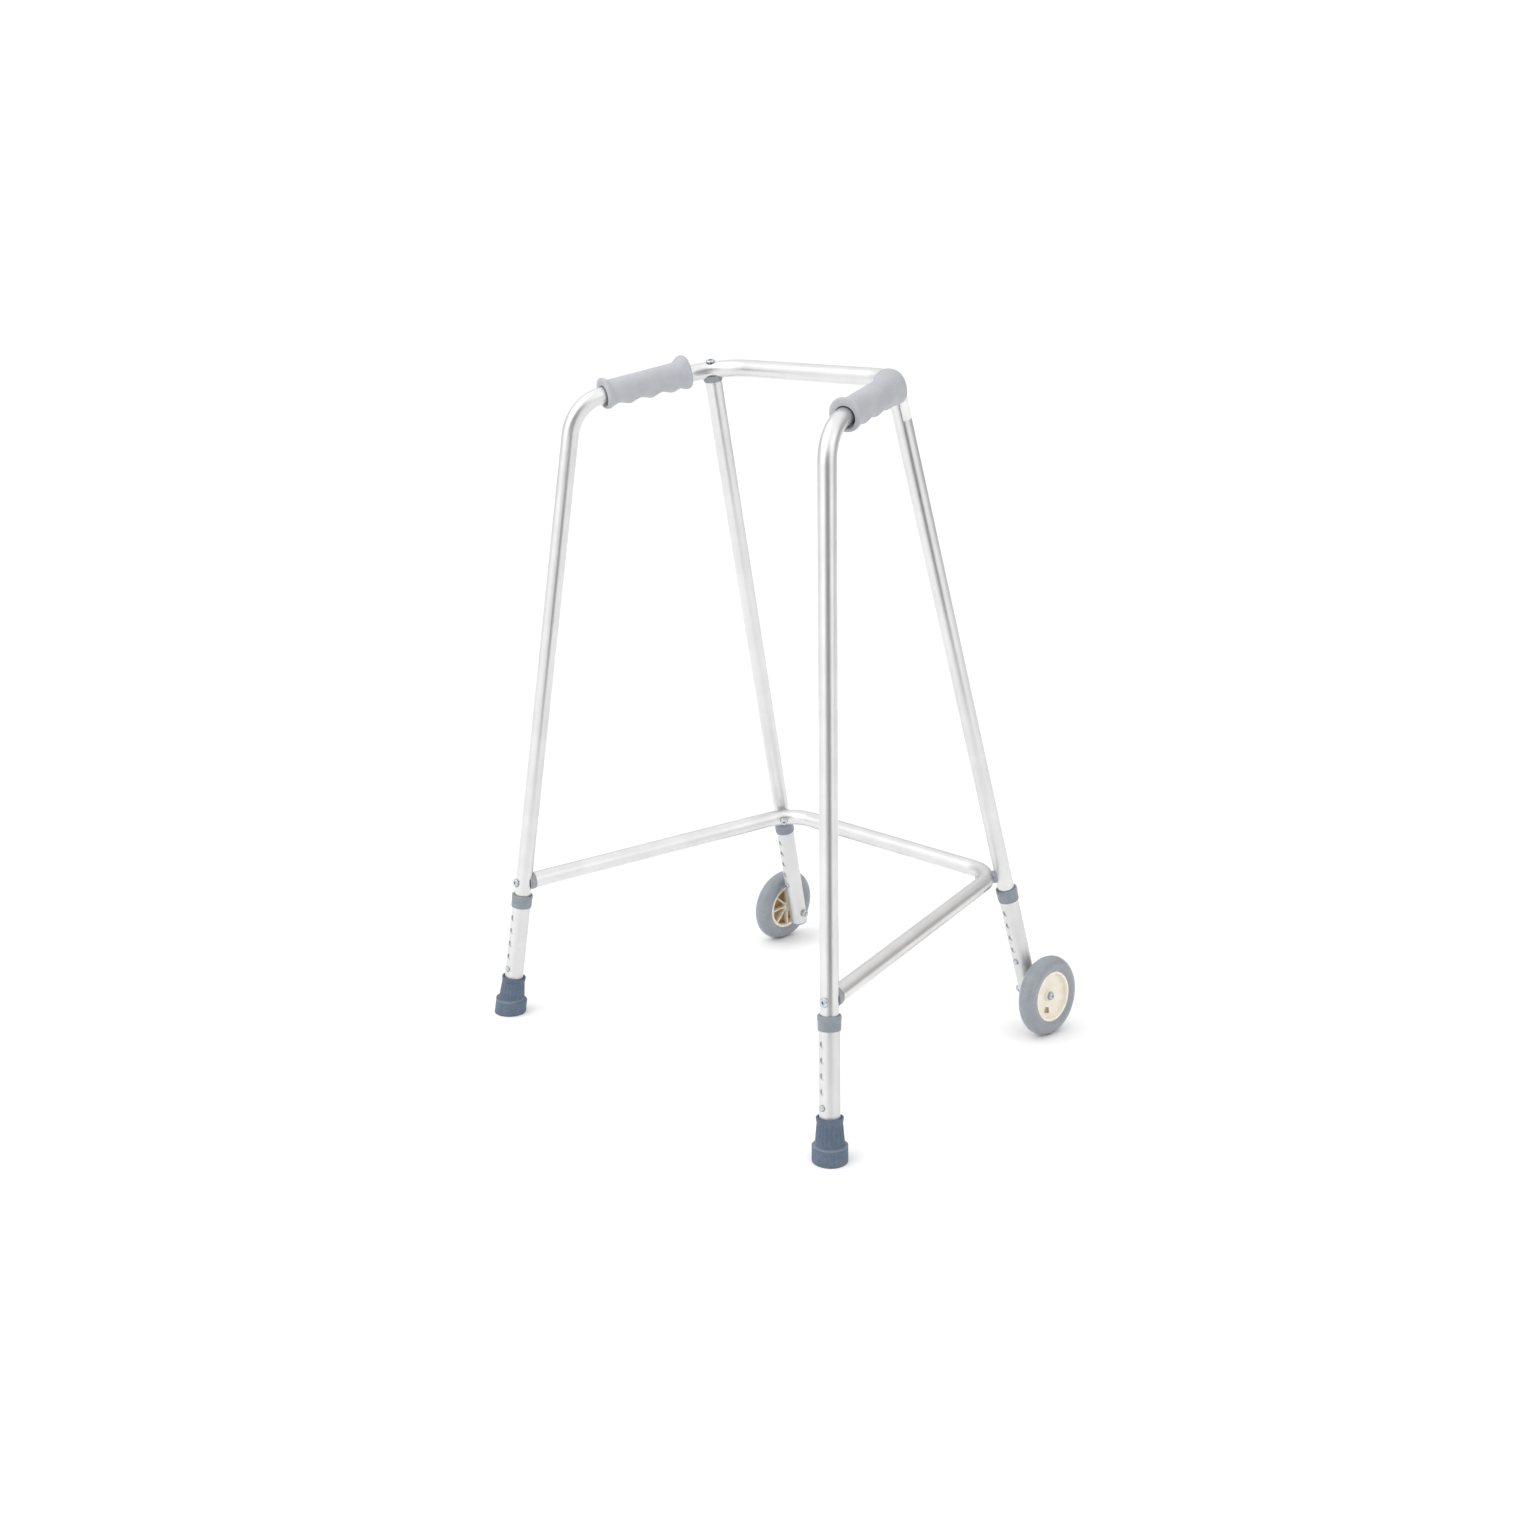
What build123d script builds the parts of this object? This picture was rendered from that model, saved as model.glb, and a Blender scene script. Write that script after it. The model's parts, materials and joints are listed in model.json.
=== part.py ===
from build123d import *
import os

# Walking frame: one bent top tube that is both rear legs, both hand rails and the crossbar,
# two straight front legs, a U-shaped lower brace, four telescopic lower legs with snap buttons,
# two rubber feet at the back and two wheels at the front.
# Millimetres. +X is the user's right, +Y is forward, +Z is up, and the floor is Z = 0.
# The origin is the middle of the footprint, and all sizes are at the lowest height setting.

# ---- where the tube centrelines run (right half; the left half is its mirror image)
rear_foot_x = 309.9
rear_foot_y = -259.2
rear_corner_x = 223.7
rear_corner_y = -192.7
rear_corner_z = 842.4
front_corner_x = 167.0
front_corner_y = 8.1
rail_rise = 40.6
front_foot_x = 227.3
front_foot_y = 241.1
brace_corner_ahead = 2.56
brace_front_z = 223.7
brace_rear_z = 191.8
rear_bend_radius = 55.5
front_bend_radius = 73.0
brace_bend_radius = 49.7
leg_place_on_bend = 0.43

# ---- tube stock
tube_od = 22.2
tube_wall = 1.6
outer_tube_wall = 1.5
slide_clearance = 0.1

# ---- room for cutters and joins
cut_past = 1.0
join_depth = 1.0
long_cut = 60.0

# ---- height adjustment, measured along each leg from the lowest hole
rear_button_height = 65.8
front_button_height = 103.6
hole_pitch = 19.05
hole_count = 5
hole_diameter = 8.0
button_diameter = 7.4
button_stand_out = 2.4
button_flange_diameter = 9.4
button_flange_thickness = 1.6
button_flange_gap = 0.3
button_round = 0.35
inner_tube_tail = 20.0
spring_width = 5.0
spring_thickness = 0.8
spring_height = 36.0
spring_wall_gap = 0.02
collar_above_holes = 16.0
collar_height = 18.0
collar_lip = 4.2
collar_wall = 1.7
collar_slide_gap = 0.3

# ---- rubber feet
foot_height = 53.5
foot_base_radius = 21.6
foot_base_height = 20.0
foot_shoulder_rise = 1.2
foot_cone_low_radius = 17.9
foot_cone_top_radius = 15.6
foot_rim_radius = 16.6
foot_rim_height = 5.5
foot_rim_step = 1.0
foot_floor_thickness = 10.0
foot_flute_count = 20
foot_flute_radius = 1.1
foot_flute_depth = 0.66
foot_flute_low_gap = 2.0
foot_flute_top_gap = 3.0
foot_plate_thickness = 1.6

# ---- wheels
wheel_diameter = 109.6
tyre_width = 24.4
tyre_seat_half_width = 10.4
tyre_flank_bulge = 0.75
hub_diameter = 69.5
hub_rim_thickness = 4.2
hub_web_thickness = 3.2
hub_web_rim_place = 6.6
hub_web_boss_place = 2.2
hub_boss_radius = 8.0
hub_boss_overhang = 0.8
hub_boss_outer_place = 5.0
hub_rib_count = 8
hub_rib_thickness = 2.4
hub_rib_recess = 1.5
hub_slot_radius = 20.0
hub_slot_width = 12.0
hub_slot_height = 6.5
bush_radius = 5.0
axle_radius = 3.0
axle_clearance = 0.08
axle_hole_clearance = 0.15
wheel_side_gap = 5.8
spacer_radius = 6.5
wheel_end_gap = 0.3
leg_end_below_axle = 17.0
end_plug_cap = 3.2
end_plug_spigot = 9.0
end_plug_round = 0.8

# ---- fasteners (all M6)
bolt_radius = 3.0
bolt_hole_clearance = 0.2
bolt_head_radius = 6.0
bolt_head_height = 2.8
bolt_head_round = 0.7
bolt_socket_width = 4.0
bolt_socket_depth = 1.6
bolt_seat_gap = 0.05
bolt_end_past_nut = 2.0
nut_width = 10.0
nut_thickness = 5.0
axle_head_radius = 5.0
axle_head_height = 3.0
axle_socket_width = 4.0
axle_nut_width = 10.0
axle_nut_thickness = 5.0
axle_washer_radius = 6.0
axle_washer_thickness = 1.2
axle_thread_stand_out = 1.2

# ---- plastic saddles and plugs between the tubes
saddle_thickness = 3.0
saddle_overhang = 1.2
saddle_spigot = 24.0
brace_saddle_thickness = 4.0
brace_saddle_spigot = 26.0
brace_bolt_length = 8.0
top_bolt_depth = 30.0
corner_nut_gap = 0.05
spacer_thickness = 1.2
corner_spacer_radius = 8.5

# ---- hand grips
grip_start = 42.0
grip_length = 121.0
grip_rear_radius = 17.9
grip_front_radius = 19.2
grip_groove_count = 4
grip_groove_depth = 4.0
grip_groove_radius = 15.0
grip_flange_thickness = 6.0
grip_flange_round = 0.4
grip_rear_flange_radius = 20.2
grip_rear_flange_rise = 1.8
grip_front_flange_radius = 22.2
grip_front_flange_rise = 3.8
grip_mouth_depth = 9.0
grip_mouth_gap = 1.3

# ---- blank information label on the right front leg
label_height = 26.0
label_thickness = 0.25
label_gap = 5.2
label_arc = 90.0

# ---- worked out from the values above
tube_radius = tube_od / 2
bore_radius = tube_radius - tube_wall
outer_bore_radius = tube_radius + slide_clearance
outer_radius = outer_bore_radius + outer_tube_wall
travel = hole_pitch * (hole_count - 1)
collar_bottom = travel + collar_above_holes
outer_tube_top = collar_bottom + collar_height - collar_lip
button_radius = button_diameter / 2
front_corner_z = rear_corner_z + rail_rise
wheel_radius = wheel_diameter / 2
hub_radius = hub_diameter / 2
bolt_hole_radius = bolt_radius + bolt_hole_clearance
SIDES = {"left": -1, "right": 1}
BASE = (Align.CENTER, Align.CENTER, Align.MIN)
pieces = {}


def on_side(point, side):
    """The point, mirrored to the left half when side is -1."""
    return Vector(point.X * side, point.Y, point.Z)


def at_height(top, bottom, height):
    """The point at a height on the line through two points."""
    return bottom + (top - bottom) * ((height - bottom.Z) / (top.Z - bottom.Z))


def cylinder(radius, low, high):
    """A cylinder about local Z between two local heights."""
    return Pos(0, 0, low) * Cylinder(radius, high - low, align=BASE)


def sleeve(outside, inside, low, high):
    """A hollow cylinder about local Z."""
    return cylinder(outside, low, high) - cylinder(inside, low - cut_past, high + cut_past)


def hexagon(width, low, high):
    """A hexagonal prism about local Z, width across the flats."""
    outline = RegularPolygon(width / 2, 6, major_radius=False)
    return Pos(0, 0, low) * extrude(outline, amount=high - low)


def turned(*outline):
    """A solid of revolution about local Z; each point is (radius, height)."""
    face = make_face(Plane.XZ * Polyline(*outline, close=True))
    return revolve(face, Axis.Z)


def button_head(radius, height, shank_radius, length, socket, socket_depth):
    """A domed screw about local Z: its head is above Z = 0 and its shank below."""
    head = cylinder(radius, 0, height)
    head = fillet(head.edges().group_by(Axis.Z)[-1], height * bolt_head_round)
    head -= hexagon(socket, height - socket_depth, height + cut_past)
    return head + cylinder(shank_radius, -length, 0)


def round_tube(route, outside, inside):
    """A round tube along a route of straight runs and bends."""
    section = Plane(origin=route @ 0, z_dir=route % 0)
    body = sweep(section * Circle(outside), route)
    hollow = sweep(section * Circle(inside), route)
    return body, body - hollow


def bend_at(route, corner):
    """The bend of a route that is nearest to one of its corners."""
    return route.edges().filter_by(GeomType.CIRCLE).sort_by_distance(corner)[0]


# ---- centrelines
rear_foot = Vector(rear_foot_x, rear_foot_y, 0)
rear_corner = Vector(rear_corner_x, rear_corner_y, rear_corner_z)
front_corner = Vector(front_corner_x, front_corner_y, front_corner_z)
front_foot = Vector(front_foot_x, front_foot_y, 0)


def leg_frame(top, foot, button_height):
    """A plane at the lowest hole of a leg: Z up the leg, X to the back, Y to the right."""
    up = (top - foot).normalized()
    back = Vector(0, -1, 0)
    back = (back - up * back.dot(up)).normalized()
    return Plane(origin=at_height(top, foot, button_height), x_dir=back, z_dir=up)


rear_frame = {s: leg_frame(on_side(rear_corner, m), on_side(rear_foot, m), rear_button_height)
              for s, m in SIDES.items()}
rear_end = rear_frame["right"].from_local_coords(Vector(0, 0, -inner_tube_tail))
top_route = FilletPolyline(
    on_side(rear_end, -1), on_side(rear_corner, -1), on_side(front_corner, -1),
    front_corner, rear_corner, rear_end,
    radius=[rear_bend_radius, front_bend_radius, front_bend_radius, rear_bend_radius],
)

# Each front leg hangs under the front bend of the top tube.
right_bend = bend_at(top_route, front_corner)
bend_ends = sorted([right_bend @ 0, right_bend @ 1], key=lambda point: point.Y)
from_rail = leg_place_on_bend if (right_bend @ 0 - bend_ends[0]).length < 1e-6 else 1 - leg_place_on_bend
leg_top = right_bend @ from_rail
top_bolt_lean = abs((right_bend % from_rail).dot((leg_top - front_foot).normalized()))
top_bolt_seat = tube_radius + bolt_head_radius * top_bolt_lean + bolt_seat_gap
front_frame = {s: leg_frame(on_side(leg_top, m), on_side(front_foot, m), front_button_height)
               for s, m in SIDES.items()}
front_leg_at_brace = at_height(leg_top, front_foot, brace_front_z)


def brace_route_to(corner_x):
    """The brace's centreline for one place of its corners."""
    joint = at_height(rear_corner, rear_foot, brace_rear_z)
    corner = Vector(corner_x, front_leg_at_brace.Y + brace_corner_ahead, brace_front_z)
    arm = (corner - joint).normalized()
    end = joint + arm * (tube_radius + brace_saddle_thickness)
    return corner, end, FilletPolyline(
        on_side(end, -1), on_side(corner, -1), corner, end, radius=[brace_bend_radius] * 2)


# The brace bends pass inside the front legs, one spacer away from them.
front_leg_line = Edge.make_line(leg_top, front_foot)
settling_rounds = 25
brace_corner_x = front_leg_at_brace.X - tube_od
for _ in range(settling_rounds):
    brace_corner, brace_end, brace_route = brace_route_to(brace_corner_x)
    on_brace, on_leg = bend_at(brace_route, brace_corner).closest_points(front_leg_line)
    brace_corner_x += (on_leg - on_brace).length - tube_od - spacer_thickness

# ---- top tube, with its holes for the leg bolts, the brace screws and the buttons
top_solid, top_tube = round_tube(top_route, tube_radius, bore_radius)
for side, m in SIDES.items():
    leg_axis = Plane(origin=on_side(leg_top, m), z_dir=front_frame[side].z_dir)
    top_tube -= leg_axis * cylinder(bolt_hole_radius, -tube_od, tube_od)

brace_joint = at_height(rear_corner, rear_foot, brace_rear_z)
rear_up = (rear_corner - rear_foot).normalized()
arm_direction = (brace_corner - brace_joint).normalized()
rear_screw_way = (arm_direction - rear_up * arm_direction.dot(rear_up)).normalized()
rear_screw_frame = {s: Plane(origin=on_side(brace_joint, m), z_dir=on_side(rear_screw_way * -1, m))
                    for s, m in SIDES.items()}
for side in SIDES:
    top_tube -= rear_screw_frame[side] * cylinder(bolt_hole_radius, -tube_od, tube_od)
    top_tube -= rear_frame[side] * Rot(0, 90, 0) * cylinder(hole_diameter / 2, 0, tube_od)
pieces["top_tube"] = top_tube

# ---- brace
brace_solid, brace_tube = round_tube(brace_route, tube_radius, bore_radius)
bolt_way = (on_leg - on_brace).normalized()
corner_bolt_frame = {s: Plane(origin=on_side(on_brace, m), z_dir=on_side(bolt_way * -1, m))
                     for s, m in SIDES.items()}
corner_leg_axis = -(tube_od + spacer_thickness)
for side in SIDES:
    brace_tube -= corner_bolt_frame[side] * cylinder(bolt_hole_radius, -tube_od, tube_od)
pieces["brace_tube"] = brace_tube


def captive_nut(top):
    """A nut on its bolt, from top downwards."""
    low = top - nut_thickness
    return hexagon(nut_width, low, top) - cylinder(bolt_radius, low - cut_past, top + cut_past)


# ---- front legs, saddles and top bolts
top_bolts = []
top_nuts = []
for side, m in SIDES.items():
    frame = front_frame[side]
    from_top = Plane(origin=on_side(leg_top, m), x_dir=frame.x_dir, z_dir=frame.z_dir)
    leg_start = -tube_radius - saddle_thickness
    leg_end = -(on_side(leg_top, m) - frame.origin).length - inner_tube_tail
    leg = from_top * sleeve(tube_radius, bore_radius, leg_end, leg_start)
    leg -= frame * Rot(0, 90, 0) * cylinder(hole_diameter / 2, 0, tube_od)
    leg -= corner_bolt_frame[side] * cylinder(bolt_hole_radius, corner_leg_axis, 0)
    pieces[f"front_leg_{side}"] = leg

    nut_top = -top_bolt_depth + nut_thickness
    saddle = cylinder(tube_radius + saddle_overhang, leg_start, -tube_radius / 2)
    saddle += cylinder(bore_radius, leg_start - saddle_spigot, leg_start)
    saddle -= cylinder(bolt_hole_radius, -long_cut, 0)
    saddle -= hexagon(nut_width, nut_top - nut_thickness, nut_top)
    pieces[f"leg_saddle_{side}"] = from_top * saddle - top_solid

    screw_length = top_bolt_seat + top_bolt_depth + bolt_end_past_nut
    screw = button_head(bolt_head_radius, bolt_head_height, bolt_radius, screw_length,
                        bolt_socket_width, bolt_socket_depth)
    top_bolts.append(from_top * Pos(0, 0, top_bolt_seat) * screw)
    top_nuts.append(from_top * captive_nut(nut_top))
pieces["leg_top_bolts"] = Compound(top_bolts)
pieces["leg_top_nuts"] = Compound(top_nuts)

# ---- brace ends on the rear legs
rear_screws = []
rear_nuts = []
for side, m in SIDES.items():
    joint = on_side(brace_joint, m)
    along = on_side(arm_direction, m)
    arm = Plane(origin=joint, z_dir=along)
    cap_end = tube_radius + brace_saddle_thickness
    saddle = cylinder(tube_radius + saddle_overhang, tube_radius / 2, cap_end)
    saddle += cylinder(bore_radius, cap_end, cap_end + brace_saddle_spigot)
    saddle = arm * saddle - top_solid
    screw_frame = rear_screw_frame[side]
    nut_top = -tube_radius - brace_bolt_length + nut_thickness
    saddle -= screw_frame * cylinder(bolt_hole_radius, -long_cut, 0)
    saddle -= screw_frame * hexagon(nut_width, nut_top - nut_thickness, nut_top)
    pieces[f"brace_end_saddle_{side}"] = saddle
    screw_length = tube_od + brace_bolt_length + bolt_end_past_nut
    screw = button_head(bolt_head_radius, bolt_head_height, bolt_radius, screw_length,
                        bolt_socket_width, bolt_socket_depth)
    rear_screws.append(screw_frame * Pos(0, 0, tube_radius) * screw)
    rear_nuts.append(screw_frame * captive_nut(nut_top))
pieces["brace_rear_screws"] = Compound(rear_screws)
pieces["brace_rear_nuts"] = Compound(rear_nuts)

# ---- brace bends bolted to the front legs; a flat head needs a little room inside the bend
inside_of_bend = brace_bend_radius - tube_radius
corner_seat = tube_radius + inside_of_bend - (inside_of_bend ** 2 - bolt_head_radius ** 2) ** 0.5
nut_corner_radius = nut_width / 3 ** 0.5
corner_nut_top = corner_leg_axis + (bore_radius ** 2 - nut_corner_radius ** 2) ** 0.5 - corner_nut_gap
corner_screws = []
corner_nuts = []
for side, m in SIDES.items():
    bolt_frame = corner_bolt_frame[side]
    spacer = cylinder(corner_spacer_radius, corner_leg_axis + tube_radius / 2, -tube_radius / 2)
    spacer = bolt_frame * (spacer - cylinder(bolt_hole_radius, -long_cut, 0))
    leg_length = (leg_top - front_foot).length
    leg_solid = front_frame[side] * cylinder(tube_radius, 0, leg_length - front_button_height)
    pieces[f"brace_corner_spacer_{side}"] = spacer - brace_solid - leg_solid
    screw_length = corner_seat - corner_nut_top + nut_thickness + bolt_end_past_nut
    screw = button_head(bolt_head_radius, bolt_head_height, bolt_radius, screw_length,
                        bolt_socket_width, bolt_socket_depth)
    corner_screws.append(bolt_frame * Pos(0, 0, corner_seat) * screw)
    corner_nuts.append(bolt_frame * captive_nut(corner_nut_top))
pieces["brace_corner_screws"] = Compound(corner_screws)
pieces["brace_corner_nuts"] = Compound(corner_nuts)


# ---- hand grips
def grip():
    """A grip along local Z from its rear end, with X up."""
    body = Cone(grip_rear_radius, grip_front_radius, grip_length, align=BASE)
    pitch = (grip_length - 2 * grip_flange_thickness) / grip_groove_count
    for number in range(grip_groove_count):
        place = grip_flange_thickness + pitch * (number + 0.5)
        radius_here = grip_rear_radius + (grip_front_radius - grip_rear_radius) * place / grip_length
        drop = radius_here - grip_groove_depth + grip_groove_radius
        groove = Rot(90, 0, 0) * Cylinder(grip_groove_radius, long_cut)
        body -= Pos(-drop, 0, place) * groove
    edge_round = grip_flange_thickness * grip_flange_round
    rear = Pos(grip_rear_flange_rise, 0, 0) * cylinder(grip_rear_flange_radius, 0, grip_flange_thickness)
    rear = fillet(rear.edges().filter_by(GeomType.CIRCLE), edge_round)
    front = Pos(grip_front_flange_rise, 0, grip_length - grip_flange_thickness)
    front *= cylinder(grip_front_flange_radius, 0, grip_flange_thickness)
    front = fillet(front.edges().filter_by(GeomType.CIRCLE), edge_round)
    body = body + rear + front - cylinder(tube_radius, -cut_past, grip_length + cut_past)
    mouth = Cone(tube_radius + grip_mouth_gap, tube_radius, grip_mouth_depth, align=BASE)
    body -= mouth
    body -= Pos(0, 0, grip_length) * Rot(180, 0, 0) * mouth
    return body


for side, m in SIDES.items():
    corner = on_side(rear_corner, m)
    forward = (on_side(front_corner, m) - corner).normalized()
    upward = (Vector(0, 0, 1) - forward * forward.Z).normalized()
    rail = Plane(origin=corner + forward * grip_start, x_dir=upward, z_dir=forward)
    pieces[f"grip_{side}"] = rail * grip()

# ---- blank label
frame = front_frame["right"]
label_top = -tube_radius - saddle_thickness - label_gap
label_base = Plane(origin=leg_top, x_dir=frame.y_dir, z_dir=frame.z_dir)
label = sleeve(tube_radius + label_thickness, tube_radius, label_top - label_height, label_top)
wedge = CenterArc((0, 0), tube_od, -label_arc / 2, label_arc)
wedge = make_face(wedge + Polyline(wedge @ 1, (0, 0), wedge @ 0))
label &= Pos(0, 0, label_top - label_height) * extrude(wedge, amount=label_height)
pieces["blank_label"] = label_base * label


# ---- height adjustment
def outer_tube(low):
    """A lower leg tube with its row of button holes."""
    tube = sleeve(outer_radius, outer_bore_radius, low, outer_tube_top)
    for number in range(hole_count):
        tube -= Pos(0, 0, number * hole_pitch) * Rot(0, 90, 0) * cylinder(hole_diameter / 2, 0, tube_od)
    return tube


def collar():
    """The plastic collar that caps a lower leg tube and guides the inner tube."""
    outside = outer_radius + collar_wall
    ring = cylinder(outside, collar_bottom, collar_bottom + collar_height)
    ring = fillet(ring.edges().group_by(Axis.Z)[-1], collar_wall)
    ring = fillet(ring.edges().group_by(Axis.Z)[0], collar_wall / 2)
    ring -= cylinder(outer_radius, collar_bottom - cut_past, outer_tube_top)
    return ring - cylinder(tube_radius + collar_slide_gap, 0, 2 * outer_tube_top)


def button():
    """A snap button about local X, with the flange that holds it inside the tube."""
    flange_top = (bore_radius ** 2 - (button_flange_diameter / 2) ** 2) ** 0.5 - button_flange_gap
    flange_low = flange_top - button_flange_thickness
    pin = cylinder(button_radius, flange_low, outer_radius + button_stand_out)
    pin = fillet(pin.edges().group_by(Axis.Z)[-1], button_radius * button_round)
    pin += cylinder(button_flange_diameter / 2, flange_low, flange_top)
    return Rot(0, 90, 0) * pin, flange_low


def button_spring(contact):
    """The folded leaf spring behind a button, which presses on the far wall of the tube."""
    front = contact
    back = spring_wall_gap - (bore_radius ** 2 - (spring_width / 2) ** 2) ** 0.5
    low = -button_flange_diameter / 2
    fold = (front - back) / 2
    corner = Pos(back, -spring_width / 2, low)
    at_corner = (Align.MIN, Align.MIN, Align.MIN)
    outer = corner * Box(2 * fold, spring_width, spring_height, align=at_corner)
    inner = corner * Pos(spring_thickness, 0, 0)
    inner *= Box(2 * (fold - spring_thickness), spring_width, spring_height, align=at_corner)
    turn = Pos(back + fold, 0, low + spring_height) * Rot(90, 0, 0)
    outer += turn * Cylinder(fold, spring_width)
    inner += turn * Cylinder(fold - spring_thickness, spring_width)
    return outer - inner


for place, frames in {"rear": rear_frame, "front": front_frame}.items():
    for side in SIDES:
        pin, contact = button()
        pieces[f"snap_button_{place}_{side}"] = frames[side] * pin
        pieces[f"button_spring_{place}_{side}"] = frames[side] * button_spring(contact)
        pieces[f"collar_{place}_{side}"] = frames[side] * collar()

# ---- rear lower legs and rubber feet
rear_slope = rear_up.Z
floor_place = -rear_button_height / rear_slope
for side in SIDES:
    frame = rear_frame[side]
    tube_low = floor_place + foot_floor_thickness + foot_plate_thickness
    pieces[f"rear_lower_tube_{side}"] = frame * outer_tube(tube_low)

    skirt = foot_base_radius * (1 - rear_slope ** 2) ** 0.5 + cut_past
    shoulder = foot_base_height + foot_shoulder_rise
    neck = foot_height - foot_rim_height
    foot = turned(
        (0, -skirt), (foot_base_radius, -skirt), (foot_base_radius, foot_base_height),
        (foot_cone_low_radius, shoulder), (foot_cone_top_radius, neck),
        (foot_rim_radius, neck + foot_rim_step), (foot_rim_radius, foot_height), (0, foot_height),
    )
    stand_off = foot_flute_radius - foot_flute_depth
    flute_low = Vector(foot_cone_low_radius + stand_off, 0, shoulder + foot_flute_low_gap)
    flute_top = Vector(foot_cone_top_radius + stand_off, 0, neck - foot_flute_top_gap)
    flute = Plane(origin=flute_low, z_dir=flute_top - flute_low)
    flute *= cylinder(foot_flute_radius, 0, (flute_top - flute_low).length)
    for number in range(foot_flute_count):
        foot -= Rot(0, 0, number * 360 / foot_flute_count) * flute
    foot -= cylinder(outer_radius, foot_floor_thickness, foot_height + cut_past)
    foot = frame * Pos(0, 0, floor_place) * foot
    below_floor = Pos(frame.origin.X, frame.origin.Y, -long_cut / 2) * Box(*[3 * long_cut] * 2, long_cut)
    pieces[f"foot_{side}"] = foot - below_floor
    plate = cylinder(outer_radius, foot_floor_thickness, foot_floor_thickness + foot_plate_thickness)
    pieces[f"foot_plate_{side}"] = frame * Pos(0, 0, floor_place) * plate

# ---- wheels: the tyre's round tread rests on the floor although the axle slopes with the leg
crown_radius = tyre_width / 2
wheel_place = outer_radius + wheel_side_gap + hub_boss_overhang + crown_radius
axle_right = front_frame["right"].y_dir
axle_slope = axle_right.Z
centre_height = (wheel_radius - crown_radius) * (1 - axle_slope ** 2) ** 0.5 + crown_radius
axle_height = centre_height - wheel_place * axle_slope
front_slope = front_frame["right"].z_dir.Z
axle_place = (axle_height - front_button_height) / front_slope


def tyre():
    """A solid tyre about local Z, with a round tread."""
    seat = tyre_seat_half_width
    tread = wheel_radius - crown_radius
    flank = (hub_radius + tread) / 2
    bulge = seat + (crown_radius - seat) * tyre_flank_bulge
    outline = Line((hub_radius, -seat), (hub_radius, seat))
    outline += ThreePointArc((hub_radius, seat), (flank, bulge), (tread, crown_radius))
    outline += ThreePointArc((tread, crown_radius), (wheel_radius, 0), (tread, -crown_radius))
    outline += ThreePointArc((tread, -crown_radius), (flank, -bulge), (hub_radius, -seat))
    return revolve(make_face(Plane.XZ * outline), Axis.Z)


def hub():
    """A moulded wheel centre about local Z; its dished face is at +Z and its ribs at -Z."""
    rim_inside = hub_radius - hub_rim_thickness
    inner_face = -crown_radius - hub_boss_overhang
    web_start = hub_boss_radius - join_depth
    web_end = rim_inside + join_depth
    centre = sleeve(hub_radius, rim_inside, -tyre_seat_half_width, tyre_seat_half_width)
    centre += cylinder(hub_boss_radius, inner_face, hub_boss_outer_place)
    centre += turned(
        (web_start, hub_web_boss_place), (web_end, hub_web_rim_place),
        (web_end, hub_web_rim_place - hub_web_thickness),
        (web_start, hub_web_boss_place - hub_web_thickness),
    )
    rib_low = -tyre_seat_half_width + hub_rib_recess
    rib_height = hub_web_boss_place - join_depth - rib_low
    for number in range(hub_rib_count):
        rib = Box(web_end - web_start, hub_rib_thickness, rib_height,
                  align=(Align.MIN, Align.CENTER, Align.MIN))
        turn = Rot(0, 0, (number + 0.5) * 360 / hub_rib_count)
        centre += turn * Pos(web_start, 0, rib_low) * rib
    slot = Box(hub_slot_height, hub_slot_width, 3 * hub_web_thickness)
    centre -= Pos(hub_slot_radius, 0, (hub_web_boss_place + hub_web_rim_place) / 2) * slot
    return centre - cylinder(bush_radius, 2 * inner_face, 2 * crown_radius)


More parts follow.
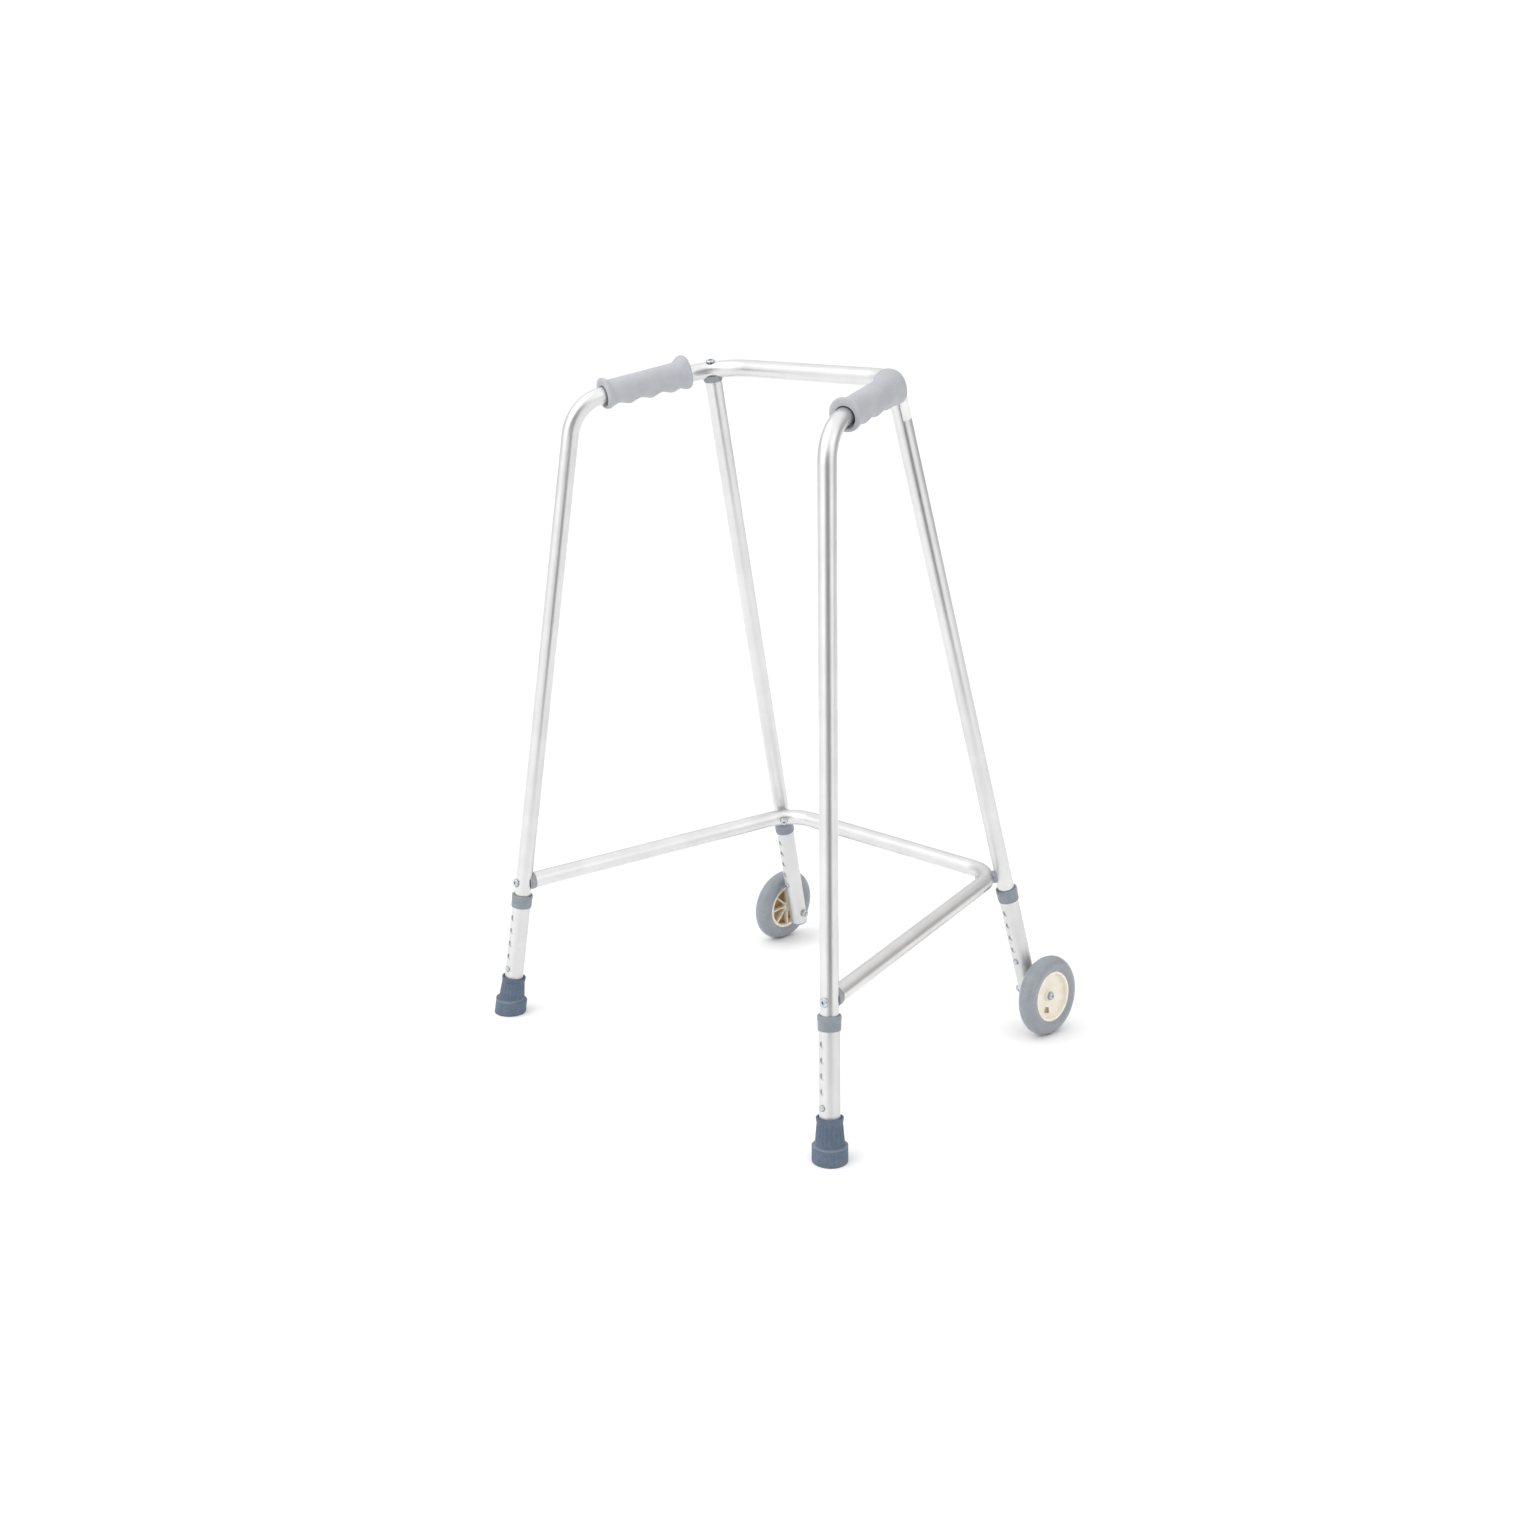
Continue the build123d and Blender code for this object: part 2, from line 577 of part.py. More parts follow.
for side, m in SIDES.items():
    frame = front_frame[side]
    tube_low = axle_place - leg_end_below_axle
    outward = frame.y_dir * m
    axle_centre = frame.from_local_coords(Vector(0, 0, axle_place))
    axle = Plane(origin=axle_centre, x_dir=frame.z_dir * -1, z_dir=outward)
    wheel = Plane(origin=axle_centre + outward * wheel_place, x_dir=frame.z_dir * -1, z_dir=outward)
    hub_inner = -crown_radius - hub_boss_overhang

    tube = frame * outer_tube(tube_low)
    tube -= axle * cylinder(axle_radius + axle_hole_clearance, -2 * tube_od, 2 * tube_od)
    pieces[f"front_lower_tube_{side}"] = tube

    cap = cylinder(outer_radius, tube_low - end_plug_cap, tube_low)
    cap = fillet(cap.edges().group_by(Axis.Z)[0], end_plug_cap * end_plug_round)
    cap += cylinder(outer_bore_radius, tube_low, tube_low + end_plug_spigot)
    pieces[f"leg_end_plug_{side}"] = frame * cap

    pieces[f"tyre_{side}"] = wheel * tyre()
    pieces[f"wheel_hub_{side}"] = wheel * hub()
    bush_inside = axle_radius + axle_clearance
    bush = sleeve(bush_radius, bush_inside, hub_inner, hub_boss_outer_place)
    pieces[f"wheel_bush_{side}"] = wheel * bush

    spacer_end = wheel_place + hub_inner - wheel_end_gap
    spacer = sleeve(spacer_radius, axle_radius + axle_hole_clearance, outer_radius / 2, spacer_end)
    spacer = axle * spacer - frame * cylinder(outer_radius, tube_low, outer_tube_top)
    pieces[f"axle_spacer_{side}"] = spacer

    washer_low = hub_boss_outer_place + wheel_end_gap
    washer_top = washer_low + axle_washer_thickness
    inner_washer = -outer_radius - axle_washer_thickness
    washers = wheel * sleeve(axle_washer_radius, axle_radius + axle_hole_clearance, washer_low, washer_top)
    washers = [washers, axle * sleeve(axle_washer_radius, axle_radius + axle_hole_clearance,
                                      inner_washer, -outer_radius)]
    pieces[f"axle_washers_{side}"] = Compound(washers)

    nut_end = inner_washer - axle_nut_thickness
    reach = wheel_place + washer_top - nut_end + axle_thread_stand_out
    bolt = button_head(axle_head_radius, axle_head_height, axle_radius, reach,
                       axle_socket_width, bolt_socket_depth)
    pieces[f"axle_bolt_{side}"] = wheel * Pos(0, 0, washer_top) * bolt
    nut = hexagon(axle_nut_width, nut_end, inner_washer)
    nut -= cylinder(axle_radius, nut_end - cut_past, inner_washer + cut_past)
    pieces[f"axle_nut_{side}"] = axle * nut

# ---- one file for each piece
os.makedirs("parts", exist_ok=True)
for name, shape in pieces.items():
    export_step(shape, f"parts/{name}.step")
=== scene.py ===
import json
import math

import bmesh
import bpy
from bpy.props import FloatProperty, FloatVectorProperty, IntProperty, PointerProperty, StringProperty
from mathutils import Matrix, Vector
from mathutils.bvhtree import BVHTree


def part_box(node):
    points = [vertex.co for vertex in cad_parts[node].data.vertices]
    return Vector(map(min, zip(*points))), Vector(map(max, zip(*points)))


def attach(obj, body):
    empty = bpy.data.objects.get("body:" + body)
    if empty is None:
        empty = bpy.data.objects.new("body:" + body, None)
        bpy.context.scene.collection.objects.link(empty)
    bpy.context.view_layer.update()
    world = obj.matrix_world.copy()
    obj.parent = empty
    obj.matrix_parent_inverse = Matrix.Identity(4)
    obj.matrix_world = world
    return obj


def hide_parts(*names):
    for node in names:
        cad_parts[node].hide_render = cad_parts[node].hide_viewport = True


bl_info = {
    "name": "Walking frame",
    "version": (1, 0, 0),
    "blender": (4, 5, 0),
    "location": "View3D > Sidebar > Walking frame",
    "description": "Hand grips, feet, wheels, collars, fasteners and finishes of a wheeled walking frame",
    "category": "Object",
}

MM = 0.001
SIDES = {"left": -1, "right": 1}
LEGS = [(place, side) for place in ("rear", "front") for side in SIDES]
TURN = 2 * math.pi

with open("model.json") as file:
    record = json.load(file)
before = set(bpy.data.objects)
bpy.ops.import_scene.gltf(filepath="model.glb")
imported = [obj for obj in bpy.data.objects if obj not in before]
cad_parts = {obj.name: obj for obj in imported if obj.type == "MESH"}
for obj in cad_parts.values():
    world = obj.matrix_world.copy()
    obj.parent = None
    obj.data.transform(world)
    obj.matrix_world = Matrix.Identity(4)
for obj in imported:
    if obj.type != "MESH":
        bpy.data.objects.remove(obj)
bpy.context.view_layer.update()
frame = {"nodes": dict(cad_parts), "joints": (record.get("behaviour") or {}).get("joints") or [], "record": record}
NODES = frame["nodes"]
JOINTS = {joint["name"]: joint for joint in frame["joints"]}
MOUNTS = {mount["name"]: mount for mount in frame["record"]["mounts"]}
TUBE_RADIUS = MOUNTS["crossbar_clamp"]["dims"]["r_mm"] * MM
CAVITY = "cavity_depth"


# ---------------------------------------------------------------- colours and nodes
def linear(hex_colour):
    """An sRGB hex colour such as #8D949C as linear red, green, blue and alpha."""
    parts = [int(hex_colour[i:i + 2], 16) / 255 for i in (1, 3, 5)]
    return tuple(p / 12.92 if p <= 0.04045 else ((p + 0.055) / 1.055) ** 2.4 for p in parts) + (1.0,)


def add_node(tree, kind, settings=None, inputs=None):
    """Adds a node, sets its settings, and gives each input its value or its link."""
    node = tree.nodes.new(kind)
    for name, value in (settings or {}).items():
        setattr(node, name, value)
    for name, value in (inputs or {}).items():
        if isinstance(value, bpy.types.NodeSocket):
            tree.links.new(value, node.inputs[name])
        else:
            node.inputs[name].default_value = value
    return node


def start_material(name, roughness, metallic=0.0, ior=1.5):
    """A material with its shader's uniform values set, and the coordinates its patterns use."""
    material = bpy.data.materials.new(name)
    material.use_nodes = True
    tree = material.node_tree
    shader = tree.nodes["Principled BSDF"]
    shader.inputs["Roughness"].default_value = roughness
    shader.inputs["Metallic"].default_value = metallic
    if not metallic:
        shader.inputs["IOR"].default_value = ior
    place = add_node(tree, "ShaderNodeTexCoord").outputs["Object"]
    return material, tree, shader, place


def soft_patches(tree, place, size, contrast=0.15):
    """A value from 0 to 1 in soft patches of that size."""
    noise = add_node(tree, "ShaderNodeTexNoise", None,
                     {"Vector": place, "Scale": 1 / size, "Detail": 4.0, "Roughness": 0.55})
    low, high = 0.5 - contrast, 0.5 + contrast
    return add_node(tree, "ShaderNodeMapRange", {"interpolation_type": "SMOOTHSTEP"},
                    {"Value": noise.outputs[0], "From Min": low, "From Max": high}).outputs[0]


def tones(part):
    """The light and the dark tone of a finish."""
    colours = bpy.context.scene.walking_frame_colours
    return [linear(getattr(colours, f"{part}_{tone}")) for tone in ("light", "dark")]


def tone_between(tree, shader, share, part):
    """The base colour runs from the finish's light tone to its dark one as share goes from 0 to 1."""
    light, dark = tones(part)
    mix = add_node(tree, "ShaderNodeMix", {"data_type": "RGBA"}, {0: share, 6: light, 7: dark})
    tree.links.new(mix.outputs[2], shader.inputs["Base Color"])
    return mix.outputs[2]


def roughness_between(tree, shader, share, low, high):
    """The roughness runs from low to high as share goes from 0 to 1."""
    value = add_node(tree, "ShaderNodeMapRange", None, {"Value": share, "To Min": low, "To Max": high})
    tree.links.new(value.outputs[0], shader.inputs["Roughness"])


def surface_grain(tree, shader, height, depth, below=None):
    """Raises the surface by height times depth, on top of another grain if there is one."""
    inputs = {"Height": height, "Distance": depth, "Strength": 1.0}
    if below is not None:
        inputs["Normal"] = below
    bump = add_node(tree, "ShaderNodeBump", None, inputs)
    tree.links.new(bump.outputs[0], shader.inputs["Normal"])
    return bump.outputs[0]


def noisy_grain(tree, shader, place, size, depth, detail=2.0):
    """Raises the surface in an even random grain of that size and depth."""
    noise = add_node(tree, "ShaderNodeTexNoise", None, {"Vector": place, "Scale": 1 / size, "Detail": detail})
    return surface_grain(tree, shader, noise.outputs[0], depth)


# ---------------------------------------------------------------- materials
def satin_anodised_aluminium(name, matter, way=None):
    """Aluminium tube, extruded, etched and anodised: a bright satin metal with a faint milky film,
    and along a straight tube the fine lines that the die leaves. A tube etched for longer is matter."""
    material, tree, shader, place = start_material(name, 0.3 + matter, metallic=1.0)
    shader.inputs["Coat Weight"].default_value = 0.12
    shader.inputs["Coat Roughness"].default_value = 0.3
    film = soft_patches(tree, place, 45 * MM)
    tone_between(tree, shader, film, "tube")
    # The etch is about 0.05 mm; it is drawn at 1.2 mm, the finest that shows, and very shallow.
    etch = noisy_grain(tree, shader, place, 1.2 * MM, 0.0006 * MM)
    if way is None:
        roughness_between(tree, shader, film, 0.32 + matter, 0.345 + matter)
        return material
    lean = way.to_track_quat("Z", "Y").inverted().to_euler()
    along = add_node(tree, "ShaderNodeMapping", {"vector_type": "POINT"}, {"Vector": place, "Rotation": lean})
    drawn = add_node(tree, "ShaderNodeMapping", {"vector_type": "POINT"},
                     {"Vector": along.outputs[0], "Scale": (1.0, 1.0, 0.01)})
    # Die lines are about 0.1 mm apart; they are drawn at 0.7 mm, the finest that shows.
    lines = add_node(tree, "ShaderNodeTexNoise", None,
                     {"Vector": drawn.outputs[0], "Scale": 1 / (0.7 * MM), "Detail": 3.0}).outputs[0]
    roughness_between(tree, shader, lines, 0.31 + matter, 0.355 + matter)
    surface_grain(tree, shader, lines, 0.0006 * MM, etch)
    return material


def bare_tube_bore():
    """The inside of an extruded tube: bare, unetched, dull and dark grey, in soft darker patches."""
    material, tree, shader, place = start_material("bare_tube_bore", 0.6, metallic=1.0)
    bore_patches = soft_patches(tree, place, 6 * MM)
    tone_between(tree, shader, bore_patches, "bore")
    roughness_between(tree, shader, bore_patches, 0.5, 0.7)
    return material


def moulded_soft_vinyl():
    """Soft PVC, moulded in a spark-eroded tool: matt, even, with a fine leathery grain."""
    material, tree, shader, place = start_material("moulded_soft_vinyl", 0.62, ior=1.53)
    shader.inputs["Sheen Weight"].default_value = 0.08
    shader.inputs["Sheen Roughness"].default_value = 0.5
    tone_between(tree, shader, soft_patches(tree, place, 30 * MM), "grip")
    roughness_between(tree, shader, soft_patches(tree, place, 12 * MM), 0.56, 0.68)
    # The tool's grain is about 0.15 mm; it is drawn at 0.8 mm, the finest that shows.
    grain = add_node(tree, "ShaderNodeTexVoronoi", {"feature": "SMOOTH_F1"},
                     {"Vector": place, "Scale": 1 / (0.8 * MM), "Smoothness": 0.6}).outputs[0]
    surface_grain(tree, shader, grain, 0.05 * MM)
    return material


def moulded_polypropylene(part):
    """Polypropylene, injection moulded: waxy half-gloss with soft flow marks and a fine tool grain."""
    material, tree, shader, place = start_material(f"moulded_polypropylene_{part}", 0.42, ior=1.49)
    flow = soft_patches(tree, place, 9 * MM)
    tone_between(tree, shader, flow, part)
    roughness_between(tree, shader, flow, 0.38, 0.5)
    noisy_grain(tree, shader, place, 0.6 * MM, 0.03 * MM)
    return material


def pressed_foot_rubber():
    """Natural rubber, compression moulded: blue-grey, dull, with talc in its pores,
    pale scuffs where the edge of the base rubs the floor, and a painted highlight in a pale band round the
    shoulder."""
    material, tree, shader, place = start_material("pressed_foot_rubber", 0.6, ior=1.52)
    base = tone_between(tree, shader, soft_patches(tree, place, 14 * MM), "foot")
    height = add_node(tree, "ShaderNodeSeparateXYZ", None, {"Vector": place}).outputs[2]
    low = add_node(tree, "ShaderNodeMapRange", {"interpolation_type": "SMOOTHSTEP"},
                   {"Value": height, "From Min": 34 * MM, "From Max": 12 * MM}).outputs[0]
    spots = soft_patches(tree, place, 3.5 * MM, 0.08)
    rubbed = add_node(tree, "ShaderNodeMath", {"operation": "MULTIPLY"}, {0: low, 1: spots}).outputs[0]
    # Painted highlight: a pale band round the shoulder, added to the scuffs.
    ledge_painted_highlight = add_node(tree, "ShaderNodeMath", {"operation": "SUBTRACT"}, {0: height, 1: 20.6 * MM}).outputs[0]
    ledge_painted_highlight = add_node(tree, "ShaderNodeMath", {"operation": "ABSOLUTE"}, {0: ledge_painted_highlight}).outputs[0]
    ledge_painted_highlight = add_node(tree, "ShaderNodeMapRange", None,
                     {"Value": ledge_painted_highlight, "From Min": 1.6 * MM, "From Max": 0.5 * MM, "To Max": 2.2}).outputs[0]
    scuffs_and_painted_highlight = add_node(tree, "ShaderNodeMath", {"operation": "ADD"}, {0: rubbed, 1: ledge_painted_highlight}).outputs[0]
    share = add_node(tree, "ShaderNodeMath", {"operation": "MULTIPLY"}, {0: scuffs_and_painted_highlight, 1: 0.11}).outputs[0]
    # This pale colour paints both the scuffs and the highlight round the shoulder.
    scuff_and_highlight_colour = linear(bpy.context.scene.walking_frame_colours.foot_scuff_and_highlight)
    scuffed_and_highlit = add_node(tree, "ShaderNodeMix", {"data_type": "RGBA"}, {0: share, 6: base, 7: scuff_and_highlight_colour})
    tree.links.new(scuffed_and_highlit.outputs[2], shader.inputs["Base Color"])
    roughness_between(tree, shader, spots, 0.5, 0.68)
    noisy_grain(tree, shader, place, 0.9 * MM, 0.08 * MM, detail=3.0)
    return material


def moulded_tyre_rubber():
    """Non-marking thermoplastic rubber, moulded on the wheel: smooth mid grey with a soft gloss."""
    material, tree, shader, place = start_material("moulded_tyre_rubber", 0.28, ior=1.56)
    cloud = soft_patches(tree, place, 18 * MM)
    tone_between(tree, shader, cloud, "tyre")
    roughness_between(tree, shader, cloud, 0.27, 0.3)
    noisy_grain(tree, shader, place, 1.1 * MM, 0.003 * MM)
    return material


def moulded_cream_nylon():
    """Cream nylon, injection moulded: slightly translucent, glossy on its faces,
    and painted browner deep between the ribs: painted shade, with a painted warm glow of light through the
    plastic."""
    material, tree, shader, place = start_material("moulded_cream_nylon", 0.34, ior=1.53)
    shader.inputs["Subsurface Weight"].default_value = 0.12
    shader.inputs["Subsurface Radius"].default_value = (1.0, 0.7, 0.35)
    shader.inputs["Subsurface Scale"].default_value = 1.5 * MM
    base = tone_between(tree, shader, soft_patches(tree, place, 11 * MM), "hub")
    # Painted shade and glow: the base colour runs to the cavity colour as the depth between the ribs grows, in
    # soft patches.
    deep = add_node(tree, "ShaderNodeAttribute", {"attribute_name": CAVITY}).outputs["Fac"]
    shade_and_gloss_patches = soft_patches(tree, place, 5 * MM, 0.3)
    shade_and_gloss_patches = add_node(tree, "ShaderNodeMapRange", None, {"Value": shade_and_gloss_patches, "To Min": 0.65}).outputs[0]
    cavity_painted_shade = add_node(tree, "ShaderNodeMath", {"operation": "MULTIPLY"}, {0: deep, 1: shade_and_gloss_patches}).outputs[0]
    brown = linear(bpy.context.scene.walking_frame_colours.hub_cavity_painted_shade)
    tinted = add_node(tree, "ShaderNodeMix", {"data_type": "RGBA"}, {0: cavity_painted_shade, 6: base, 7: brown})
    tree.links.new(tinted.outputs[2], shader.inputs["Base Color"])
    roughness_between(tree, shader, shade_and_gloss_patches, 0.42, 0.3)
    noisy_grain(tree, shader, place, 1.4 * MM, 0.02 * MM)
    return material


def plated_steel(name, part, low, high):
    """Steel, turned or pressed and plated: hard bright metal with a cloudy film of zinc or nickel."""
    material, tree, shader, place = start_material(name, low, metallic=1.0)
    cloud = soft_patches(tree, place, 2.5 * MM)
    tone_between(tree, shader, cloud, part)
    roughness_between(tree, shader, cloud, low, high)
    noisy_grain(tree, shader, place, 0.5 * MM, 0.01 * MM)
    return material


def white_vinyl_film():
    """White vinyl film with its adhesive behind it: smooth, slightly glossy, with a faint orange peel."""
    material, tree, shader, place = start_material("white_vinyl_film", 0.3, ior=1.54)
    tone_between(tree, shader, soft_patches(tree, place, 8 * MM), "label")
    noisy_grain(tree, shader, place, 1.6 * MM, 0.02 * MM, detail=1.0)
    return material


def studio_paper(part):
    """Matt paper or card, rolled out in the studio, with the faintest unevenness in tone."""
    material, tree, shader, place = start_material(f"studio_{part}", 0.9, ior=1.45)
    shader.inputs["Specular IOR Level"].default_value = 0.1
    tone_between(tree, shader, soft_patches(tree, place, 600 * MM), part)
    return material


FINISHES = {
    "anodised_tube": lambda *way: satin_anodised_aluminium("satin_anodised_aluminium", 0.0, *way),
    "lower_tube": lambda *way: satin_anodised_aluminium("matt_anodised_aluminium", 0.17, *way),
    "tube_bore": bare_tube_bore,
    "grip_plastic": moulded_soft_vinyl,
    "collar_plastic": lambda: moulded_polypropylene("collar"),
    "saddle_plastic": lambda: moulded_polypropylene("saddle"),
    "bearing_plastic": lambda: moulded_polypropylene("spacer"),
    "foot_rubber": pressed_foot_rubber,
    "tyre_rubber": moulded_tyre_rubber,
    "hub_plastic": moulded_cream_nylon,
    "bright_steel": lambda: plated_steel("bright_nickel_plated_steel", "bright", 0.16, 0.26),
    "zinc_steel": lambda: plated_steel("zinc_plated_steel", "zinc", 0.3, 0.42),
    "label_film": white_vinyl_film,
    "paper": lambda: studio_paper("paper"),
    "dark_card": lambda: studio_paper("card"),
}
MADE_MATERIALS = {}


def finish(name, *way):
    """The material of a slot, made when it is first asked for. A straight tube gives the way it runs."""
    key = (name, *[tuple(round(v, 4) for v in w) for w in way])
    if key not in MADE_MATERIALS:
        MADE_MATERIALS[key] = FINISHES[name](*way)
    return MADE_MATERIALS[key]


# ---------------------------------------------------------------- where things are
def leg_line(place, side):
    """A point on a leg's centreline, at the middle of its lower tube, and the way up the leg."""
    low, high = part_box(f"{place}_lower_tube_{side}")
    down = Vector(JOINTS[f"leg_height_{place}_{side}"]["axis"]).normalized()
    return (low + high) / 2, -down


def largest_flat(node):
    """The faces of a CAD node that look the way its largest flat area looks, and that way."""
    groups = {}
    for face in NODES[node].data.polygons:
        groups.setdefault(tuple(round(v, 3) + 0.0 for v in face.normal), []).append(face)
    faces = max(groups.values(), key=lambda group: sum(face.area for face in group))
    return faces, sum((face.normal * face.area for face in faces), Vector()).normalized()


def tube_end_under(node):
    """The point where a saddle meets the end of its tube, and the way from there to the tube it carries."""
    faces, inward = largest_flat(node)
    area = sum(face.area for face in faces)
    centre = sum((face.center * face.area for face in faces), Vector()) / area
    nearest = min(face.center.dot(inward) for face in faces)
    return centre + inward * (nearest - centre.dot(inward)), -inward


def rail_line(side):
    """The rear corner of a hand rail's centreline, and the way forward along the rail."""
    point, up = leg_line("rear", side)
    way = largest_flat(f"grip_{side}")[1]
    way = way if way.y > 0 else -way
    gap = Vector(MOUNTS["crossbar_clamp"]["pos_m"]) - point
    climb = (gap.y * way.z - gap.z * way.y) / (up.y * way.z - up.z * way.y)
    return point + up * climb, way


def axes_at(origin, along, facing):
    """A place whose Z runs along a part and whose X faces one way."""
    z = along.normalized()
    x = (facing - z * facing.dot(z)).normalized()
    y = z.cross(x)
    return Matrix.Translation(origin) @ Matrix((x, y, z)).transposed().to_4x4()


# ---------------------------------------------------------------- making meshes
def round_corners(outline, closed=False, steps=5):
    """The (radius, height) points of an outline given as (radius, height, rounding) corners."""
    points = []
    count = len(outline)
    for i, (r, h, rounding) in enumerate(outline):
        corner = Vector((r, h))
        if rounding <= 0 or (not closed and i in (0, count - 1)):
            points.append((r, h))
            continue
        before = Vector(outline[i - 1][:2]) - corner
        after = Vector(outline[(i + 1) % count][:2]) - corner
        half = before.angle(after) / 2
        reach = min(rounding / math.tan(half), before.length * 0.49, after.length * 0.49)
        start = corner + before.normalized() * reach
        end = corner + after.normalized() * reach
        for step in range(steps + 1):
            t = step / steps
            points.append(tuple(start * (1 - t) ** 2 + corner * 2 * t * (1 - t) + end * t ** 2))
    return points


def split_long_runs(points, longest, closed=False):
    """The points with extra ones, so that no run between two is longer than longest."""
    result = []
    pairs = list(zip(points, points[1:] + points[:1])) if closed else list(zip(points, points[1:]))
    for (r0, h0), (r1, h1) in pairs:
        parts = max(1, math.ceil(math.hypot(r1 - r0, h1 - h0) / longest))
        result += [(r0 + (r1 - r0) * i / parts, h0 + (h1 - h0) * i / parts) for i in range(parts)]
    return result if closed else result + [points[-1]]


def turned_rings(points, around):
    """Rings of points about Z, one for each (radius, height); a radius of 0 gives a single point."""
    rings = []
    for radius, height in points:
        if radius < 1e-7:
            rings.append([Vector((0, 0, height))])
            continue
        angles = [TURN * i / around for i in range(around)]
        rings.append([Vector((radius * math.cos(a), radius * math.sin(a), height)) for a in angles])
    return rings


def ring_faces(rings, closed, left_out=()):
    """The faces between each ring and the next. A ring of one point is a tip."""
    starts = [sum(len(ring) for ring in rings[:k]) for k in range(len(rings))]
    faces = []
    for k in range(len(rings) if closed else len(rings) - 1):
        after = (k + 1) % len(rings)
        count = max(len(rings[k]), len(rings[after]))
        for i in range(count):
            if (k, i) in left_out:
                continue
            j = (i + 1) % count
            corners = [(k, i), (after, i), (after, j), (k, j)]
            numbers = [starts[ring] + (place if len(rings[ring]) > 1 else 0) for ring, place in corners]
            faces.append(tuple(dict.fromkeys(numbers)))
    return faces, starts


def solid_from(name, rings, place, closed=True, smooth_angle=38, left_out=(), more_faces=(), cavity=None):
    """A mesh from rings of points, smooth except across edges sharper than smooth_angle."""
    faces, starts = ring_faces(rings, closed, left_out)
    faces += [tuple(starts[ring] + i for ring, i in face) for face in more_faces]
    mesh = bpy.data.meshes.new(name)
    mesh.from_pydata([place @ point for ring in rings for point in ring], [], faces)
    if cavity:
        mesh.attributes.new(CAVITY, "FLOAT", "POINT").data.foreach_set("value", cavity)
    work = bmesh.new()
    work.from_mesh(mesh)
    bmesh.ops.recalc_face_normals(work, faces=work.faces)
    work.to_mesh(mesh)
    work.free()
    mesh.shade_smooth()
    mesh.set_sharp_from_angle(angle=math.radians(smooth_angle))
    return mesh


def add_piece(name, mesh, body, slot, replaced):
    """A new piece that rides on a body, takes a slot's finish and stands for a CAD node."""
    piece = bpy.data.objects.new(name, mesh)
    bpy.context.scene.collection.objects.link(piece)
    mesh.materials.clear()
    mesh.materials.append(finish(slot))
    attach(piece, body)
    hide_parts(replaced)
    return piece


def dress(node, slot, *way):
    """Gives a CAD node its material."""
    NODES[node].data.materials.clear()
    NODES[node].data.materials.append(finish(slot, *way))


def ease(t):
    """0 below 0, 1 above 1, and a smooth rise between."""
    t = min(1.0, max(0.0, t))
    return t * t * (3 - 2 * t)


# ---------------------------------------------------------------- sizes and colours
def length(name, description, millimetres):
    """A size property, given in millimetres."""
    return FloatProperty(name=name, description=description, default=millimetres * MM,
                         min=0.0, subtype="DISTANCE", unit="LENGTH", precision=5)


def colour(name, description, hex_colour):
    """A colour property, as an sRGB hex value."""
    return StringProperty(name=name, description=description, default=hex_colour)


class GripSizes(bpy.types.PropertyGroup):
    start: length("Start", "From the rail's rear corner to the grip's rear end", 42.0)
    run: length("Length", "Length of the grip along the rail", 121.0)
    rear_top: length("Rear height", "Above the rail's centreline at the rear", 17.6)
    front_top: length("Front height", "Above the rail's centreline at the front", 19.2)
    flattening: length("Flattening", "How much the sides stand in from the top", 1.2)
    ridge: length("Ridge depth", "Depth of the ridges between the fingers below the centreline", 18.2)
    groove: length("Groove depth", "Depth of the finger grooves below the centreline", 14.3)
    rear_flange_top: length("Rear flange height", "Top of the rear flange above the centreline", 22.0)
    rear_flange_low: length("Rear flange depth", "Bottom of the rear flange below the centreline", 18.4)
    rear_flange_side: length("Rear flange half width", "Side of the rear flange", 20.0)
    front_flange_top: length("Front flange height", "Top of the front flange above the centreline", 26.0)
    front_flange_low: length("Front flange depth", "Bottom of the front flange below the centreline", 18.4)
    front_flange_side: length("Front flange half width", "Side of the front flange", 22.0)
    flange_edge: length("Flange rounding", "Rounding of the flanges' edges", 2.3)
    mouth: length("Mouth radius", "Radius of the hollow at the grip's ends", 13.4)
    mouth_drop: length("Mouth drop", "How far the hollow hangs below the rail's centreline", 1.2)
    mouth_depth: length("Mouth depth", "Depth of the hollow at the grip's ends", 11.0)
    fingers: IntProperty(name="Finger grooves", description="Number of finger grooves", default=4, min=1)


class FootSizes(bpy.types.PropertyGroup):
    height: length("Height", "Height of the rubber foot along the leg", 53.5)
    base: length("Base radius", "Radius of the base", 21.6)
    base_height: length("Base height", "Height of the base up to its shoulder", 20.0)
    shoulder_rise: length("Shoulder rise", "Height of the sloping shoulder", 1.2)
    cone_low: length("Lower cone radius", "Radius of the cone above the shoulder", 17.9)
    cone_top: length("Upper cone radius", "Radius of the cone under the rim", 15.6)
    rim: length("Rim radius", "Radius of the rim at the mouth", 16.6)
    rim_height: length("Rim height", "Height of the rim", 5.5)
    mouth: length("Mouth radius", "Radius of the mouth's funnel", 14.2)
    bore: length("Bore radius", "Radius of the bore, a little over the tube's", 12.72)
    bore_floor: length("Bore floor", "Height of the bore's floor", 9.8)
    flute_depth: length("Flute depth", "Depth of the upright flutes", 0.8)
    tread_depth: length("Tread depth", "Depth of the rings under the base", 1.2)
    flutes: IntProperty(name="Flutes", description="Number of upright flutes", default=20, min=3)


